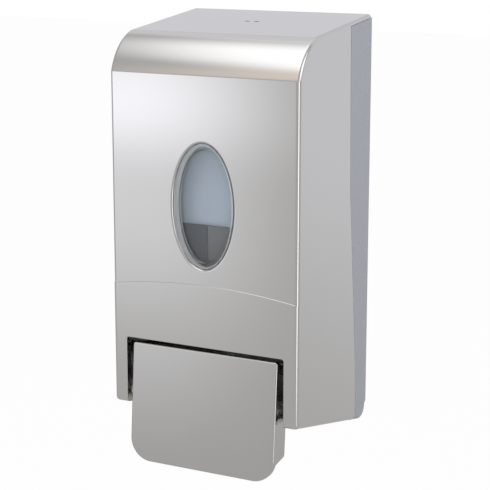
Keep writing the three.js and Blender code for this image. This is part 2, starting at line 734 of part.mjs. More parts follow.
function leverFrame() {
  const half = boxHalfWidth;
  const inset = leverRim + fitGap;
  const outline = roundedRectangle(
    -half, half, faceBottomZ + inset, faceTopZ - inset, leverFootRadius - inset, leverHeadRadius / 2);
  const web = prismY(outline, webRearY, webFrontY);
  const boxTopZ = faceTopZ - inset;
  const boxBottomZ = boxTopZ - frameHeight;
  const boxRearY = webRearY + frameDepth;
  const side = [
    [webFrontY + frameWeb / 2, boxBottomZ - frameFootChamfer], [webRearY, boxBottomZ - frameFootChamfer],
    [boxRearY, boxBottomZ], [boxRearY, boxTopZ - leverHeadRadius], [boxRearY - leverHeadRadius, boxTopZ],
    [webFrontY + frameWeb / 2, boxTopZ],
  ];
  const envelope = prismY(outline, boxRearY, webFrontY);
  const walls = [-1, 1].map((s) =>
    prismX(side, s > 0 ? half - frameWall : -half, s > 0 ? half : frameWall - half).intersect(envelope));
  const top = box(-half, half, webRearY - frameWeb / 2, boxRearY - leverHeadRadius,
    boxTopZ - frameWall, boxTopZ).intersect(envelope);
  const eyes = [-1, 1].map((s) => {
    const [x0, x1] = s > 0 ? [half - 2 * frameWall, half] : [-half, 2 * frameWall - half];
    return rod("x", pivotEyeRadius, x0, x1, 0, 0);
  });
  const bore = rod("x", rodBoreRadius, -caseWidth, caseWidth, 0, 0);
  const holes = leverScrewPlaces.map(([x, z]) =>
    rod("y", screwBoreRadius, -caseDepth, caseDepth, x, z, smallSegments));
  return cut(join(web, ...walls, top, ...eyes, pusherPad()), bore, ...holes);
}

// The pad's face stands upright while the lever leans
function pusherPad() {
  const root = -pivotSetback - pusherRadius;
  const pad = rod("y", pusherRadius, root, -pusherForward, 0, -plungerDrop).rotate([leverLeanDegrees, 0, 0]);
  return pad.intersect(box(-pusherRadius, pusherRadius, webFrontY + frameWeb / 2, 0, faceBottomZ, 0));
}

function pivotRod() {
  const half = halfWidth - coverWall - fitGap;
  return rod("x", rodRadius, -half, half, 0, 0, smallSegments);
}

function leverBush() {
  const length = slotHalfWidth - boxHalfWidth - 2 * fitGap;
  return rod("x", rodBoreRadius + bushWall, 0, length, 0, 0)
    .subtract(rod("x", rodBoreRadius, -cutOverrun, length + cutOverrun, 0, 0));
}

// An open ring that keeps the rod in its lugs
function pivotClip() {
  const ring = rod("x", rodBoreRadius + clipRing, 0, clipThickness, 0, 0)
    .subtract(rod("x", rodBoreRadius, -cutOverrun, cutOverrun, 0, 0));
  return ring.subtract(box(-cutOverrun, cutOverrun, -clipMouth / 2, clipMouth / 2, -cutOverrun, 0));
}

// A screw with its head's seat at z = 0 and its shank below
function screw(length) {
  const headRadius = screwHeadRadius;
  const crown = screwHeadHeight / 2;
  const body = turned([
    [0, -length], [screwShankRadius, -length], [screwShankRadius, 0], [headRadius, 0], [headRadius, crown],
    [headRadius - crown, screwHeadHeight], [0, screwHeadHeight],
  ], smallSegments);
  const half = screwSlotWidth / 2;
  const reach = headRadius * screwSlotShare;
  const low = screwHeadHeight - screwSlotDepth;
  const high = screwHeadHeight + cutOverrun;
  return cut(body, box(-reach, reach, -half, half, low, high), box(-half, half, -reach, reach, low, high));
}

// Pump pieces are drawn about the point where the ports' axis meets the plunger's axis
const localY = (y) => y - portY;
const localZ = (z) => z - plungerZ;

function pumpBody() {
  const outer = pumpBoreRadius + pumpWall;
  const rear = localY(chamberRearY);
  const front = localY(pistonFrontY);
  const barrel = rod("y", outer, front, rear + pumpRearWall, 0, 0);
  const flangeTop = localZ(pumpFlangeTopZ);
  const neck = rod("z", inletNeckRadius, 0, flangeTop - pumpFlangeThickness / 2, 0, 0);
  const flange = rod("z", pumpFlangeRadius, flangeTop - pumpFlangeThickness, flangeTop, 0, 0);
  const spigot = rod("z", spigotRadius, -outer - spigotLength, 0, 0, 0);
  const chamber = rod("y", pumpBoreRadius, front - cutOverrun, rear, 0, 0);
  const inlet = rod("z", inletBoreRadius, 0, flangeTop + cutOverrun, 0, 0);
  const seatDepth = valveFlangeThickness + 2 * fitGap;
  const valveSeat = rod("z", valveFlangeRadius + fitGap, flangeTop - seatDepth, flangeTop + cutOverrun, 0, 0);
  const outlet = rod("z", outletPortRadius, -outer - spigotLength - cutOverrun, 0, 0, 0);
  return cut(join(barrel, neck, flange, spigot), chamber, inlet, valveSeat, outlet);
}

function pumpEndCap() {
  const inner = pumpBoreRadius + pumpWall + fitGap;
  const outer = inner + capWall;
  const hole = plungerRodRadius + fitGap;
  return turnedY([
    [hole, 0], [outer - capWall / 2, 0], [outer, capWall / 2], [outer, capSkirt], [inner, capSkirt],
    [inner, capFace], [hole, capFace],
  ]);
}

function plungerBody() {
  const shoulder = buttonBackY - pistonFrontY;
  const tip = shoulder - plungerTipLength;
  const piston = pumpBoreRadius - fitGap - fitGap / 2;
  const groove = piston - 2 * sealRing - fitGap / 2;
  const grooveFront = (pistonLength - sealGrooveWidth) / 2;
  const grooveRear = grooveFront + sealGrooveWidth;
  return turnedY([
    [0, tip], [plungerTipRadius, tip], [plungerTipRadius, shoulder + fitGap],
    [plungerRodRadius, shoulder + fitGap], [plungerRodRadius, 0], [piston, 0],
    [piston, grooveFront], [groove, grooveFront], [groove, grooveRear],
    [piston, grooveRear], [piston, pistonLength], [0, pistonLength],
  ]);
}

function plungerSeal() {
  const piston = pumpBoreRadius - fitGap - fitGap / 2;
  const ring = piston - sealRing + fitGap / 4;
  const geometry = new THREE.TorusGeometry(ring, sealRing, smallSegments / 2, roundSegments);
  return solid(geometry.rotateX(Math.PI / 2));
}

function plungerButton() {
  const hole = plungerTipRadius + fitGap;
  const dome = arc(0, 0, buttonRadius, -Math.PI / 2, 0, cornerSteps);
  const depth = buttonSkirt - plungerTipLength - fitGap;
  return turnedY([...dome.slice(0, -1), [buttonRadius, 0], [buttonRadius, buttonSkirt], [hole, buttonSkirt],
    [hole, depth], [0, depth]]);
}

// A round coil spring along y, with its ends cut by the curl's own end
class CoilCurve extends THREE.Curve {
  constructor(radius, length, turns) {
    super();
    Object.assign(this, { radius, length, turns });
  }

  getPoint(t, target = new THREE.Vector3()) {
    const angle = 2 * Math.PI * this.turns * t;
    return target.set(this.radius * Math.cos(angle), this.length * t, this.radius * Math.sin(angle));
  }
}

function coilSpring(radius, wire, length, turns) {
  const path = new CoilCurve(radius, length - 2 * wire, turns);
  path.arcLengthDivisions = turns * curlSteps * curlSteps;
  const section = outlineShape(arc(0, 0, wire, 0, 2 * Math.PI, wireSides).slice(0, -1));
  const geometry = extruded(section, 0, { steps: turns * curlSteps, extrudePath: path });
  return solid(geometry.translate(0, wire, 0));
}

// A soft duckbill: a flange with a hollow cone that opens downward
function duckbill() {
  const inner = (radius) => radius - valveWall;
  return turned([
    [inner(valveRootRadius), 0], [valveFlangeRadius, 0], [valveFlangeRadius, -valveFlangeThickness],
    [valveRootRadius, -valveFlangeThickness], [valveTipRadius, -valveLength - valveFlangeThickness],
    [inner(valveTipRadius), -valveLength - valveFlangeThickness],
  ], smallSegments);
}

const nozzleBoreTop = spigotRadius + fitGap;
const nozzleLedgeRadius = valveRootRadius + 2 * fitGap;
const nozzleTopZ = plungerZ - pumpBoreRadius - pumpWall - 2 * fitGap;
const spigotEndZ = plungerZ - pumpBoreRadius - pumpWall - spigotLength;
const nozzleLedgeZ = spigotEndZ - valveFlangeThickness - 2 * fitGap;

function nozzleBody() {
  const outer = nozzleBoreTop + nozzleWall;
  const ledge = nozzleLedgeZ - nozzleTopZ;
  const shoulder = nozzleTaperLength - nozzleLength;
  return turned([
    [nozzleBoreTop, 0], [outer, 0], [outer, shoulder], [nozzleTipRadius, -nozzleLength],
    [nozzleBoreRadius, -nozzleLength], [nozzleLedgeRadius, ledge], [nozzleBoreTop, ledge],
  ]);
}

function tankBody() {
  const half = tankHalfWidth;
  const wall = tankWall;
  const outer = prismZ(roundedRectangle(-half, half, tankFrontY, tankRearY, tankCornerRadius),
    tankFootZ, tankTopZ);
  const inner = prismZ(
    roundedRectangle(wall - half, half - wall, tankFrontY + wall, tankRearY - wall, tankCornerRadius - wall),
    tankFootZ + wall, tankTopZ + cutOverrun);
  const neck = rod("z", neckRadius, neckEndZ, tankFootZ + wall / 2, 0, portY);
  const outlet = rod("z", neckRadius - neckWall, neckEndZ - cutOverrun, tankFootZ + cutOverrun, 0, portY);
  return cut(join(outer, neck), inner, outlet);
}

function tankLid() {
  const half = tankHalfWidth + fitGap;
  const rim = lidSkirtWall;
  const front = tankFrontY - fitGap;
  const rear = tankRearY + fitGap;
  const outer = roundedRectangle(-half - rim, half + rim, front - rim, rear + rim, tankCornerRadius + rim);
  const inner = roundedRectangle(-half, half, front, rear, tankCornerRadius);
  const plate = prismZ(outer, -lidSkirt, lidThickness);
  const hollow = prismZ(inner, -lidSkirt - cutOverrun, 0);
  const gripFront = (tankFrontY + tankRearY - lidGripWidth) / 2;
  const grip = prismZ(
    roundedRectangle(-lidGripLength / 2, lidGripLength / 2, gripFront, gripFront + lidGripWidth,
      lidGripWidth * leadShare),
    lidThickness / 2, lidThickness + lidGripHeight);
  return join(plate.subtract(hollow), grip);
}

function tankGasket() {
  const inner = neckRadius - neckWall;
  return rod("z", neckRadius - fitGap, 0, gasketThickness, 0, 0)
    .subtract(rod("z", inner, -cutOverrun, cutOverrun, 0, 0));
}

function pumpCollar() {
  const inner = neckRadius + fitGap;
  const outer = inner + collarWall;
  const lipTop = collarLip;
  const height = collarLip + fitGap + pumpFlangeThickness + 2 * fitGap + gasketThickness + collarGrip;
  const lip = inletNeckRadius + fitGap;
  const chamfer = collarLip / 2;
  return turned([
    [lip, 0], [outer - chamfer, 0], [outer, chamfer], [outer, height - chamfer], [outer - chamfer, height],
    [inner, height], [inner, lipTop], [lip, lipTop],
  ]);
}

function tankCarrier() {
  const inner = tankHalfWidth + fitGap;
  const outer = carrierHalfWidth;
  const floorTop = tankFootZ - fitGap;
  const frontInner = tankFrontY - fitGap;
  const frontTopZ = windowZ - carrierWindowDrop;
  const flangeHalf = outer + carrierEar;
  const radius = tankCornerRadius + fitGap;
  const block = prismZ(
    roundedRectangle(-outer, outer, carrierFrontY, bracketRearY + radius, radius + carrierWall),
    carrierFootZ, frontTopZ);
  const behind = box(-caseWidth, caseWidth, bracketRearY, caseDepth, -caseHeight, caseHeight);
  const hollow = prismZ(
    roundedRectangle(-inner, inner, frontInner, bracketRearY + 2 * radius, radius), floorTop, topZ);
  const sideTop = carrierFootZ + carrierSideHeight;
  const lowSides = box(-caseWidth, caseWidth, frontInner + tankCornerRadius, bracketFrontY, sideTop, topZ);
  const flange = box(-flangeHalf, flangeHalf, bracketFrontY, bracketRearY, carrierFootZ, carrierHeadZ);
  const panel = box(-outer + radius + carrierWall, carrierPanelEdge,
    carrierPanelY, carrierFrontY + carrierWall / 2, floorTop, frontTopZ);
  const neckHole = rod("z", neckRadius + fitGap, carrierFootZ - cutOverrun, floorTop + cutOverrun, 0, portY);
  const bores = carrierScrewPlaces.map(([x, z]) =>
    rod("y", screwBoreRadius, bracketFrontY - cutOverrun, bracketRearY + cutOverrun, x, z, smallSegments));
  const shell = cut(block, behind, hollow, lowSides);
  return cut(join(shell, flange, panel), neckHole, ...bores);
}

// The latch: a tooth in front of the cover's keeper, on a base that slides in the housing
const latchBaseRearY = toothRearY + latchBaseReach - toothThickness;
const toothFrontY = latchY - toothThickness / 2;

function lockLatch() {
  const base = box(-latchBaseHalfWidth, latchBaseHalfWidth, toothFrontY, latchBaseRearY,
    latchBaseBottomZ, latchBaseTopZ);
  const lead = toothThickness * leadShare;
  const rootZ = latchBaseTopZ - latchBaseThickness / 2;
  const tooth = prismX([
    [toothFrontY, rootZ], [toothRearY, rootZ], [toothRearY, toothTopZ],
    [toothFrontY + lead, toothTopZ], [toothFrontY, toothTopZ - lead],
  ], -toothHalfWidth, toothHalfWidth);
  return join(base, tooth);
}

function latchHousing() {
  const [rear, front] = [latchBaseRearY + fitGap, toothFrontY - fitGap];
  const half = latchBaseHalfWidth + fitGap;
  const floorZ = seatTopZ - seatThickness - fitGap - seatLedge;
  const block = box(-half - housingWall, half + housingWall, front - housingWall, rear + housingWall,
    floorZ, housingTopZ);
  const well = box(-half, half, front, rear, seatTopZ - seatThickness - fitGap, latchBaseTopZ + fitGap);
  const mouth = box(-half + seatLedge, half - seatLedge, front + seatLedge, rear - seatLedge,
    floorZ - cutOverrun, housingTopZ - housingWall);
  const toothHole = box(-toothHalfWidth - fitGap, toothHalfWidth + fitGap, front, toothRearY + fitGap,
    latchBaseTopZ, housingTopZ + cutOverrun);
  const arm = box(-half - housingWall, half + housingWall, rear, bracketFrontY + bracketWall / 2,
    housingTopZ - housingArmHeight, housingTopZ);
  const armHollow = box(-half, half, rear + housingWall, bracketFrontY,
    housingTopZ - housingArmHeight - cutOverrun, housingTopZ - housingWall);
  const flange = box(-housingFlangeHalfWidth, housingFlangeHalfWidth, bracketFrontY, bracketRearY,
    housingFlangeZ - housingFlangeHeight / 2, housingFlangeZ + housingFlangeHeight / 2);
  const bores = housingScrewPlaces.map(([x, z]) =>
    rod("y", screwBoreRadius, bracketFrontY - cutOverrun, bracketRearY + cutOverrun, x, z, smallSegments));
  return cut(join(cut(join(block, arm), well, mouth, armHollow), flange), toothHole, ...bores);
}

function latchSpringSeat() {
  const [rear, front] = [latchBaseRearY, toothFrontY];
  const plate = box(-latchBaseHalfWidth, latchBaseHalfWidth, front, rear, seatTopZ - seatThickness, seatTopZ);
  const peg = rod("z", latchSpringRadius - latchSpringWire - 2 * fitGap, seatTopZ - seatThickness / 2,
    seatTopZ + seatThickness, 0, (rear + front) / 2, smallSegments);
  return join(plate, peg);
}

function hingePin() {
  const length = hingeLugWidth + hingeBossLength + 2 * fitGap;
  const lead = hingePinRadius * leadShare;
  return turned([
    [0, 0], [hingePinRadius - lead, 0], [hingePinRadius, lead], [hingePinRadius, length],
    [hingePinHeadRadius, length], [hingePinHeadRadius, length + hingePinHeadHeight],
    [0, length + hingePinHeadHeight],
  ], smallSegments);
}

const finishes = {
  satin: { color: 0xc8c7c3, roughness: 0.28, metalness: 0.9 },
  brushed: { color: 0xaeaca8, roughness: 0.35, metalness: 0.9 },
  grained: { color: 0x9c9ea3, roughness: 0.6, metalness: 0.3 },
  clear: { color: 0xc9d3dc, roughness: 0.05, metalness: 0, transparent: true, opacity: 0.35 },
  tank: { color: 0xb4bec8, roughness: 0.4, metalness: 0 },
  dark: { color: 0x4b5155, roughness: 0.55, metalness: 0 },
  black: { color: 0x1d1f22, roughness: 0.6, metalness: 0 },
  white: { color: 0xe8e8e4, roughness: 0.45, metalness: 0 },
  steel: { color: 0xb9bcc0, roughness: 0.3, metalness: 1 },
  rubber: { color: 0x2a2a2c, roughness: 0.85, metalness: 0 },
};

function piece(name, shape, finish, position = [0, 0, 0], rotation = [0, 0, 0]) {
  const mesh = new THREE.Mesh(geometryOf(shape), new THREE.MeshStandardMaterial(finishes[finish]));
  mesh.name = name;
  mesh.position.set(...position);
  mesh.rotation.set(...rotation);
  return mesh;
}

function group(position, rotation, ...children) {
  const holder = new THREE.Group();
  holder.position.set(...position);
  holder.rotation.set(...rotation);
  holder.add(...children);
  return holder;
}

const sides = [["left", -1], ["right", 1]];
const headToRear = [-Math.PI / 2, 0, 0];
const headToFront = [Math.PI / 2, 0, 0];

function coverPieces() {
  return [
    piece("front_cover", frontCover(), "satin"),
    piece("window_lens", windowLens(), "clear", [0, frontY, windowZ]),
    piece("window_retainer", windowRetainer(), "black", [0, retainerFrontY, windowZ]),
    ...retainerPosts.map(([x, z], i) => piece(`retainer_screw_${i + 1}`,
      screw(shortScrewLength), "steel", [x, retainerRearY + fitGap, z], headToRear)),
  ];
}

function leverGroup() {
  const lean = [-leverLean, 0, 0];
  return group([0, pivotY, pivotZ], lean,
    piece("lever_plate", leverPlate(), "brushed"),
    piece("lever_frame", leverFrame(), "brushed"),
    ...sides.map(([label], i) => piece(`lever_screw_${label}`, screw(leverScrewLength), "steel",
      [leverScrewPlaces[i][0], webRearY + fitGap, leverScrewPlaces[i][1]], headToRear)));
}

function pivotPieces() {
  const bushX = boxHalfWidth + fitGap;
  const clipX = lugOuterX + fitGap;
  return group([0, pivotY, pivotZ], [0, 0, 0],
    piece("lever_pivot_rod", pivotRod(), "steel"),
    ...sides.flatMap(([label, side]) => {
      const outward = [0, side > 0 ? 0 : Math.PI, 0];
      return [
        piece(`lever_bush_${label}`, leverBush(), "black", [side * bushX, 0, 0], outward),
        piece(`pivot_clip_${label}`, pivotClip(), "steel", [side * clipX, 0, 0], outward),
      ];
    }));
}

function pumpPieces() {
  const springLength = chamberRearY - pistonRearY - 2 * fitGap;
  const spring = coilSpring(plungerSpringRadius, plungerSpringWire, springLength, plungerSpringTurns);
  return group([0, portY, plungerZ], [0, 0, 0],
    piece("pump_body", pumpBody(), "white"),
    piece("pump_end_cap", pumpEndCap(), "dark", [0, localY(capFrontY), 0]),
    piece("plunger", plungerBody(), "white", [0, localY(pistonFrontY), 0]),
    piece("plunger_seal", plungerSeal(), "rubber", [0, localY(pistonFrontY + pistonLength / 2), 0]),
    piece("plunger_button", plungerButton(), "dark", [0, localY(domeY), 0]),
    piece("plunger_spring", spring, "steel", [0, localY(pistonRearY + fitGap), 0]),
    piece("inlet_valve", duckbill(), "rubber", [0, 0, localZ(pumpFlangeTopZ - fitGap)]),
    piece("outlet_valve", duckbill(), "rubber", [0, 0, localZ(spigotEndZ - fitGap)]),
    piece("nozzle", nozzleBody(), "dark", [0, 0, localZ(nozzleTopZ)]),
    piece("tank_gasket", tankGasket(), "rubber", [0, 0, localZ(neckEndZ - fitGap - gasketThickness)]),
    piece("pump_collar", pumpCollar(), "dark",
      [0, 0, localZ(pumpFlangeTopZ - pumpFlangeThickness - fitGap - collarLip)]));
}

function latchPieces() {
  const springY = (latchBaseRearY + toothFrontY) / 2;
  const spring = coilSpring(latchSpringRadius, latchSpringWire, springRoom, latchSpringTurns);
  return [
    piece("latch_housing", latchHousing(), "dark"),
    piece("lock_latch", lockLatch(), "white"),
    piece("latch_spring_seat", latchSpringSeat(), "dark"),
    piece("latch_spring", spring, "steel", [0, springY, seatTopZ + fitGap], headToFront),
    ...sides.map(([label], i) => piece(`latch_screw_${label}`, screw(longScrewLength), "steel",
      [housingScrewPlaces[i][0], screwHeadY, housingScrewPlaces[i][1]], headToFront)),
  ];
}

function hingePieces() {
  const endX = halfWidth - coverWall - fitGap;
  return sides.map(([label, side]) => piece(`hinge_pin_${label}`, hingePin(), "steel",
    [side * endX, hingeY, hingeZ], [0, (-side * Math.PI) / 2, 0]));
}

const dispenser = new THREE.Group();
dispenser.name = "liquid_soap_dispenser";
dispenser.add(
  piece("back_plate", backPlate(), "grained"),
  piece("tank_carrier", tankCarrier(), "dark"),
  ...carrierScrewPlaces.map(([x, z], i) => piece(`carrier_screw_${i + 1}`, screw(longScrewLength), "steel",
    [x, screwHeadY, z], headToFront)),
  piece("tank", tankBody(), "tank"),
  piece("tank_lid", tankLid(), "white", [0, 0, tankTopZ + fitGap]),
  ...latchPieces(),
  ...hingePieces(),
  ...coverPieces(),
  leverGroup(),
  pivotPieces(),
  pumpPieces(),
);

export default dispenser;
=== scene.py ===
"""Finishes a wall-hung liquid soap dispenser: its modelled pieces, its materials and a plain studio."""
import json
import math
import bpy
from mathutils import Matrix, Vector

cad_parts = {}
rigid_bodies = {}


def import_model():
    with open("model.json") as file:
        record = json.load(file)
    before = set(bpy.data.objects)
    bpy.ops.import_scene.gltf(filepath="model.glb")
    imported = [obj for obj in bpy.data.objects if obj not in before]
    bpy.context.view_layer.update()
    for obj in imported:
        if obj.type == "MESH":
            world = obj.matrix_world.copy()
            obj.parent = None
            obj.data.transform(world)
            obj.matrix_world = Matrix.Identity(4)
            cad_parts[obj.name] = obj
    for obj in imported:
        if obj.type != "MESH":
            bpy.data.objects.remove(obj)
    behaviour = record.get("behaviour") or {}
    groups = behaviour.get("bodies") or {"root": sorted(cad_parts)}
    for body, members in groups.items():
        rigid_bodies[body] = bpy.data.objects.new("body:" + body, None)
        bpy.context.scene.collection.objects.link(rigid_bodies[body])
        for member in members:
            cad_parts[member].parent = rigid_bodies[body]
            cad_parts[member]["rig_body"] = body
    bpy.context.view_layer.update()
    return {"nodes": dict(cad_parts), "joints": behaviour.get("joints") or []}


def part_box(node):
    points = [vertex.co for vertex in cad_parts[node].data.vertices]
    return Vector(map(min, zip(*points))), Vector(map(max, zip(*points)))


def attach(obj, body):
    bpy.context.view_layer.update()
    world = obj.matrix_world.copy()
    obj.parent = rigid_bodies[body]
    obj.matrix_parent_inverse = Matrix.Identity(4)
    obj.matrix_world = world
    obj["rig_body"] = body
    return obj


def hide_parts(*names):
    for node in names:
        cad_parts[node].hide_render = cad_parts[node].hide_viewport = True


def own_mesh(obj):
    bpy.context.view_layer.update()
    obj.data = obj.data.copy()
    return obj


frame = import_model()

from types import SimpleNamespace

import bpy
from mathutils import Vector

bl_info = {
    "name": "Soap Dispenser Maker",
    "version": (1, 0, 0),
    "blender": (4, 5, 0),
    "location": "View3D > Sidebar > Dispenser",
    "description": "Models the pieces of a wall-hung soap dispenser around its fixed frame",
    "category": "Object",
}

MM = 0.001
FINE = 0.002 * MM  # points closer than this are one point
OVERRUN = 6 * MM  # how far a cut runs past what it cuts
FULL_TURN = 2 * math.pi
QUARTER = math.pi / 2
ROUND_STEPS = 64
SMALL_STEPS = 40


def length(title, what, millimetres):
    """A size that is written in millimetres and kept in metres."""
    return bpy.props.FloatProperty(
        name=title, description=what, default=millimetres * MM, precision=5, unit="LENGTH")


def share(title, what, value):
    """A part of the whole, from 0 to 1."""
    return bpy.props.FloatProperty(
        name=title, description=what, default=value, min=0, max=1, precision=3, subtype="FACTOR")


def linear(hex_colour):
    """Turns an sRGB hex colour into linear red, green and blue."""
    values = [int(hex_colour[i:i + 2], 16) / 255 for i in (0, 2, 4)]
    return [v / 12.92 if v <= 0.04045 else ((v + 0.055) / 1.055) ** 2.4 for v in values]


def colour(title, what, hex_colour):
    """A colour that is written as sRGB hex and kept linear."""
    return bpy.props.FloatVectorProperty(
        name=title, description=what, default=linear(hex_colour), size=3, min=0, max=1, subtype="COLOR")


class CaseSizes(bpy.types.PropertyGroup):
    """The outline that the cover and the wall plate share."""
    width: length("Width", "Across the case", 125)
    height: length("Height", "From the foot at the wall to the roof at the wall", 261.3)
    depth: length("Depth", "From the wall to the front", 104.5)
    foot_rise: length("Foot rise", "From the foot at the wall up to the front foot", 25.3)
    brow_depth: length("Brow depth", "From the brow line to the front, seen from above", 23.2)
    roof_fall: length("Roof fall", "From the roof at the wall down to the brow line", 8.3)
    crease_drop: length("Crease drop", "From the roof at the wall down to the crease below the brow", 31)
    brow_radius: length("Brow radius", "Radius of the rounded brow", 34)
    edge_radius: length("Edge radius", "Rounding of the case's side edges", 2.5)
    crease_radius: length("Crease radius", "Softening of the brow line and the crease", 3)
    foot_radius: length("Foot radius", "Rounding of the front foot", 2.7)
    heel_radius: length("Heel radius", "Rounding of the foot at the wall", 8)
    wall: length("Wall", "Thickness of the cover", 2)
    fit_gap: length("Fit gap", "Clearance between neighbouring pieces", 0.3)
    seam_top: length("Seam top", "Depth of the side seam at the roof", 32.5)
    seam_upper: length("Seam upper bend", "Depth of the side seam at its upper bend", 30)
    seam_lower: length("Seam lower bend", "Depth of the side seam at its lower bend", 18)
    seam_foot: length("Seam foot", "Depth of the side seam at the foot", 17)
    upper_share: share("Upper bend", "Height of the seam's upper bend", 0.6)
    lower_share: share("Lower bend", "Height of the seam's lower bend", 0.155)
    foot_share: share("Foot bend", "Height up to which the seam runs straight", 0.06)
    seam_softness: length("Seam softness", "Rounding of the edges along the seam", 0.35)
    plate_wall: length("Plate wall", "Thickness of the wall plate's back", 2.5)
    plate_rim: length("Plate rim", "Thickness of the wall plate's rims", 2)
    keyhole_radius: length("Keyhole", "Radius of the wall screws' holes", 4.6)
    keyhole_slot: length("Keyhole slot", "Width of the wall screws' slots", 5.2)
    keyhole_reach: length("Keyhole reach", "Length of the wall screws' slots", 9)
    keyhole_side: length("Keyhole side", "From the case's side to the keyholes", 24.5)
    keyhole_end: length("Keyhole end", "From the case's ends to the keyholes", 32.65)
    standoff_height: length("Standoff height", "Height of the wall plate's posts", 4)
    standoff_radius: length("Standoff radius", "Radius of the wall plate's posts", 4)
    hinge_inset: length("Hinge inset", "From the seam and the underside to the hinge", 3.5)
    hinge_boss: length("Hinge boss", "Length of the cover's hinge bosses", 3)
    hinge_lug: length("Hinge lug", "Width of the wall plate's hinge lugs", 7)
    key_spacing: length("Key slot spacing", "Between the two key slots on the roof", 6.4)
    key_width: length("Key slot width", "Width of a key slot", 3)
    key_depth: length("Key slot depth", "Depth of a key slot from front to back", 1.8)
    keeper_wall: length("Keeper wall", "Thickness of the wall that the latch holds", 2)
    keeper_half: length("Keeper half width", "Half the width of that wall", 8)
    keeper_overlap: length("Keeper overlap", "How far that wall reaches below the latch's top", 5.4)
    latch_roof_gap: length("Latch gap", "From the latch's top up to the roof", 3)
    latch_depth: length("Latch depth", "From the wall to the latch's tooth", 40)
    tooth: length("Tooth", "Thickness of the latch's tooth", 4.4)
    fitting_softness: length("Fitting softness", "Rounding of the fittings inside the cover", 0.3)
    standoff_softness: length("Standoff softness", "Rounding of the wall plate's posts", 0.4)
    inner_softness: length("Inner softness", "Rounding of the lock and the window's ring", 0.25)


class FrontSizes(bpy.types.PropertyGroup):
    """The lower panel, the sight window and the lever's slot."""
    panel_proud: length("Panel proud", "How far the lower panel stands out", 0.5)
    arch_height: length("Arch height", "From the front foot up to the panel's arched edge", 80.3)
    arch_rise: length("Arch rise", "How far the arch rises across the case", 5.2)
    arch_softness: length("Arch softness", "Rounding of the arched edge", 0.4)
    window_half_width: length("Window half width", "Half the width of the window's opening", 20.3)
    window_half_height: length("Window half height", "Half the height of the window's opening", 37.8)
    window_drop: length("Window drop", "From the crease down to the window's middle", 77.4)
    window_softness: length("Window rim", "Rounding of the window's rim", 1.5)
    lens_lip: length("Lens lip", "How far the lens reaches behind the cover", 4.2)
    lens_flange: length("Lens flange", "Thickness of the lens's lip", 1.6)
    lens_recess: length("Lens recess", "How far the lens stands behind the front", 0.4)
    lens_band: length("Lens band", "Width of the lens's raised band", 3.2)
    frost_side: length("Frosted side", "Mean width of the frosted band at the window's sides", 2.6)
    frost_top: length("Frosted top", "Width of the frosted band at the window's top and foot", 1.5)
    frost_shift: length("Frosted shift", "How far the clear pane stands right of the window's middle", 1.3)
    frost_clearness: share("Frosted clearness", "How much light passes the frosted band", 0.68)
    lens_dip: length("Lens dip", "Depth of the pane behind the band", 1.9)
    lens_softness: length("Lens softness", "Rounding of the lens's edges", 0.5)
    post_radius: length("Post radius", "Radius of the posts round the window", 3)
    slot_side: length("Slot side", "The cover's leg on each side of the slot", 9.2)
    slot_height: length("Slot height", "From the front foot up to the slot's top", 41.8)
    slot_corner: length("Slot corner", "Radius of the slot's upper corners", 1.5)
    slot_softness: length("Slot softness", "Rounding of the slot's edges", 0.5)
    slot_flange: length("Slot flange", "Depth of the flanges beside the slot", 4.6)
    slot_flange_wall: length("Slot flange wall", "Thickness of those flanges", 1.5)
    slot_flange_drop: length("Slot flange drop", "From the slot's top down to those flanges", 3)
    nozzle_room: length("Nozzle room", "Free space behind the nozzle", 5.2)
    floor_corner: length("Floor corner", "Radius of the floor opening's rear corners", 8)
    floor_rear: length("Floor rear", "Depth of the floor that is left out at the wall", 26)
    lug_margin: length("Lug margin", "Round the lever's rod in the cover's lugs", 3.6)
    clip_room: length("Clip room", "Between a lug and the cover's side", 2.2)


def roof_at(case, y):
    """Height of the roof at a depth."""
    return case.height / 2 + y * case.roof_fall / (case.depth - case.brow_depth)


def base_at(case, y):
    """Height of the underside at a depth."""
    return -case.height / 2 - y * case.foot_rise / case.depth


def roof_stretch(case):
    """Upright thickness of a roof that is one unit thick."""
    return math.hypot(1, case.roof_fall / (case.depth - case.brow_depth))


def base_stretch(case):
    """Upright thickness of an underside that is one unit thick."""
    return math.hypot(1, case.foot_rise / case.depth)


def arc(u, v, radius, start, end, steps):
    """Points on an arc, with both of its ends."""
    turn = (end - start) / steps
    return [(u + radius * math.cos(start + turn * i), v + radius * math.sin(start + turn * i))
            for i in range(steps + 1)]


def oval(u, v, half_u, half_v, steps=96):
    """Points round an oval."""
    return [(u + half_u * math.cos(FULL_TURN * i / steps), v + half_v * math.sin(FULL_TURN * i / steps))
            for i in range(steps)]


def rounded_rectangle(u, v, low_radius, high_radius, steps=8):
    """A rectangle from (lowest, highest) pairs, with its own radii at its low and its high corners."""
    (u0, u1), (v0, v1) = u, v
    low, high = low_radius, high_radius
    corners = [(u1 - low, v0 + low, low), (u1 - high, v1 - high, high),
               (u0 + high, v1 - high, high), (u0 + low, v0 + low, low)]
    points = []
    for turn, (cu, cv, radius) in enumerate(corners):
        start = (turn - 1) * QUARTER
        points += arc(cu, cv, radius, start, start + QUARTER, steps) if radius > FINE else [(cu, cv)]
    return points


def plan(low, high, inset, radius):
    """A box seen from above, drawn inward by an inset, with one radius at all its corners."""
    return rounded_rectangle((low.x + inset, high.x - inset), (low.y + inset, high.y - inset),
                             radius, radius, steps=10)


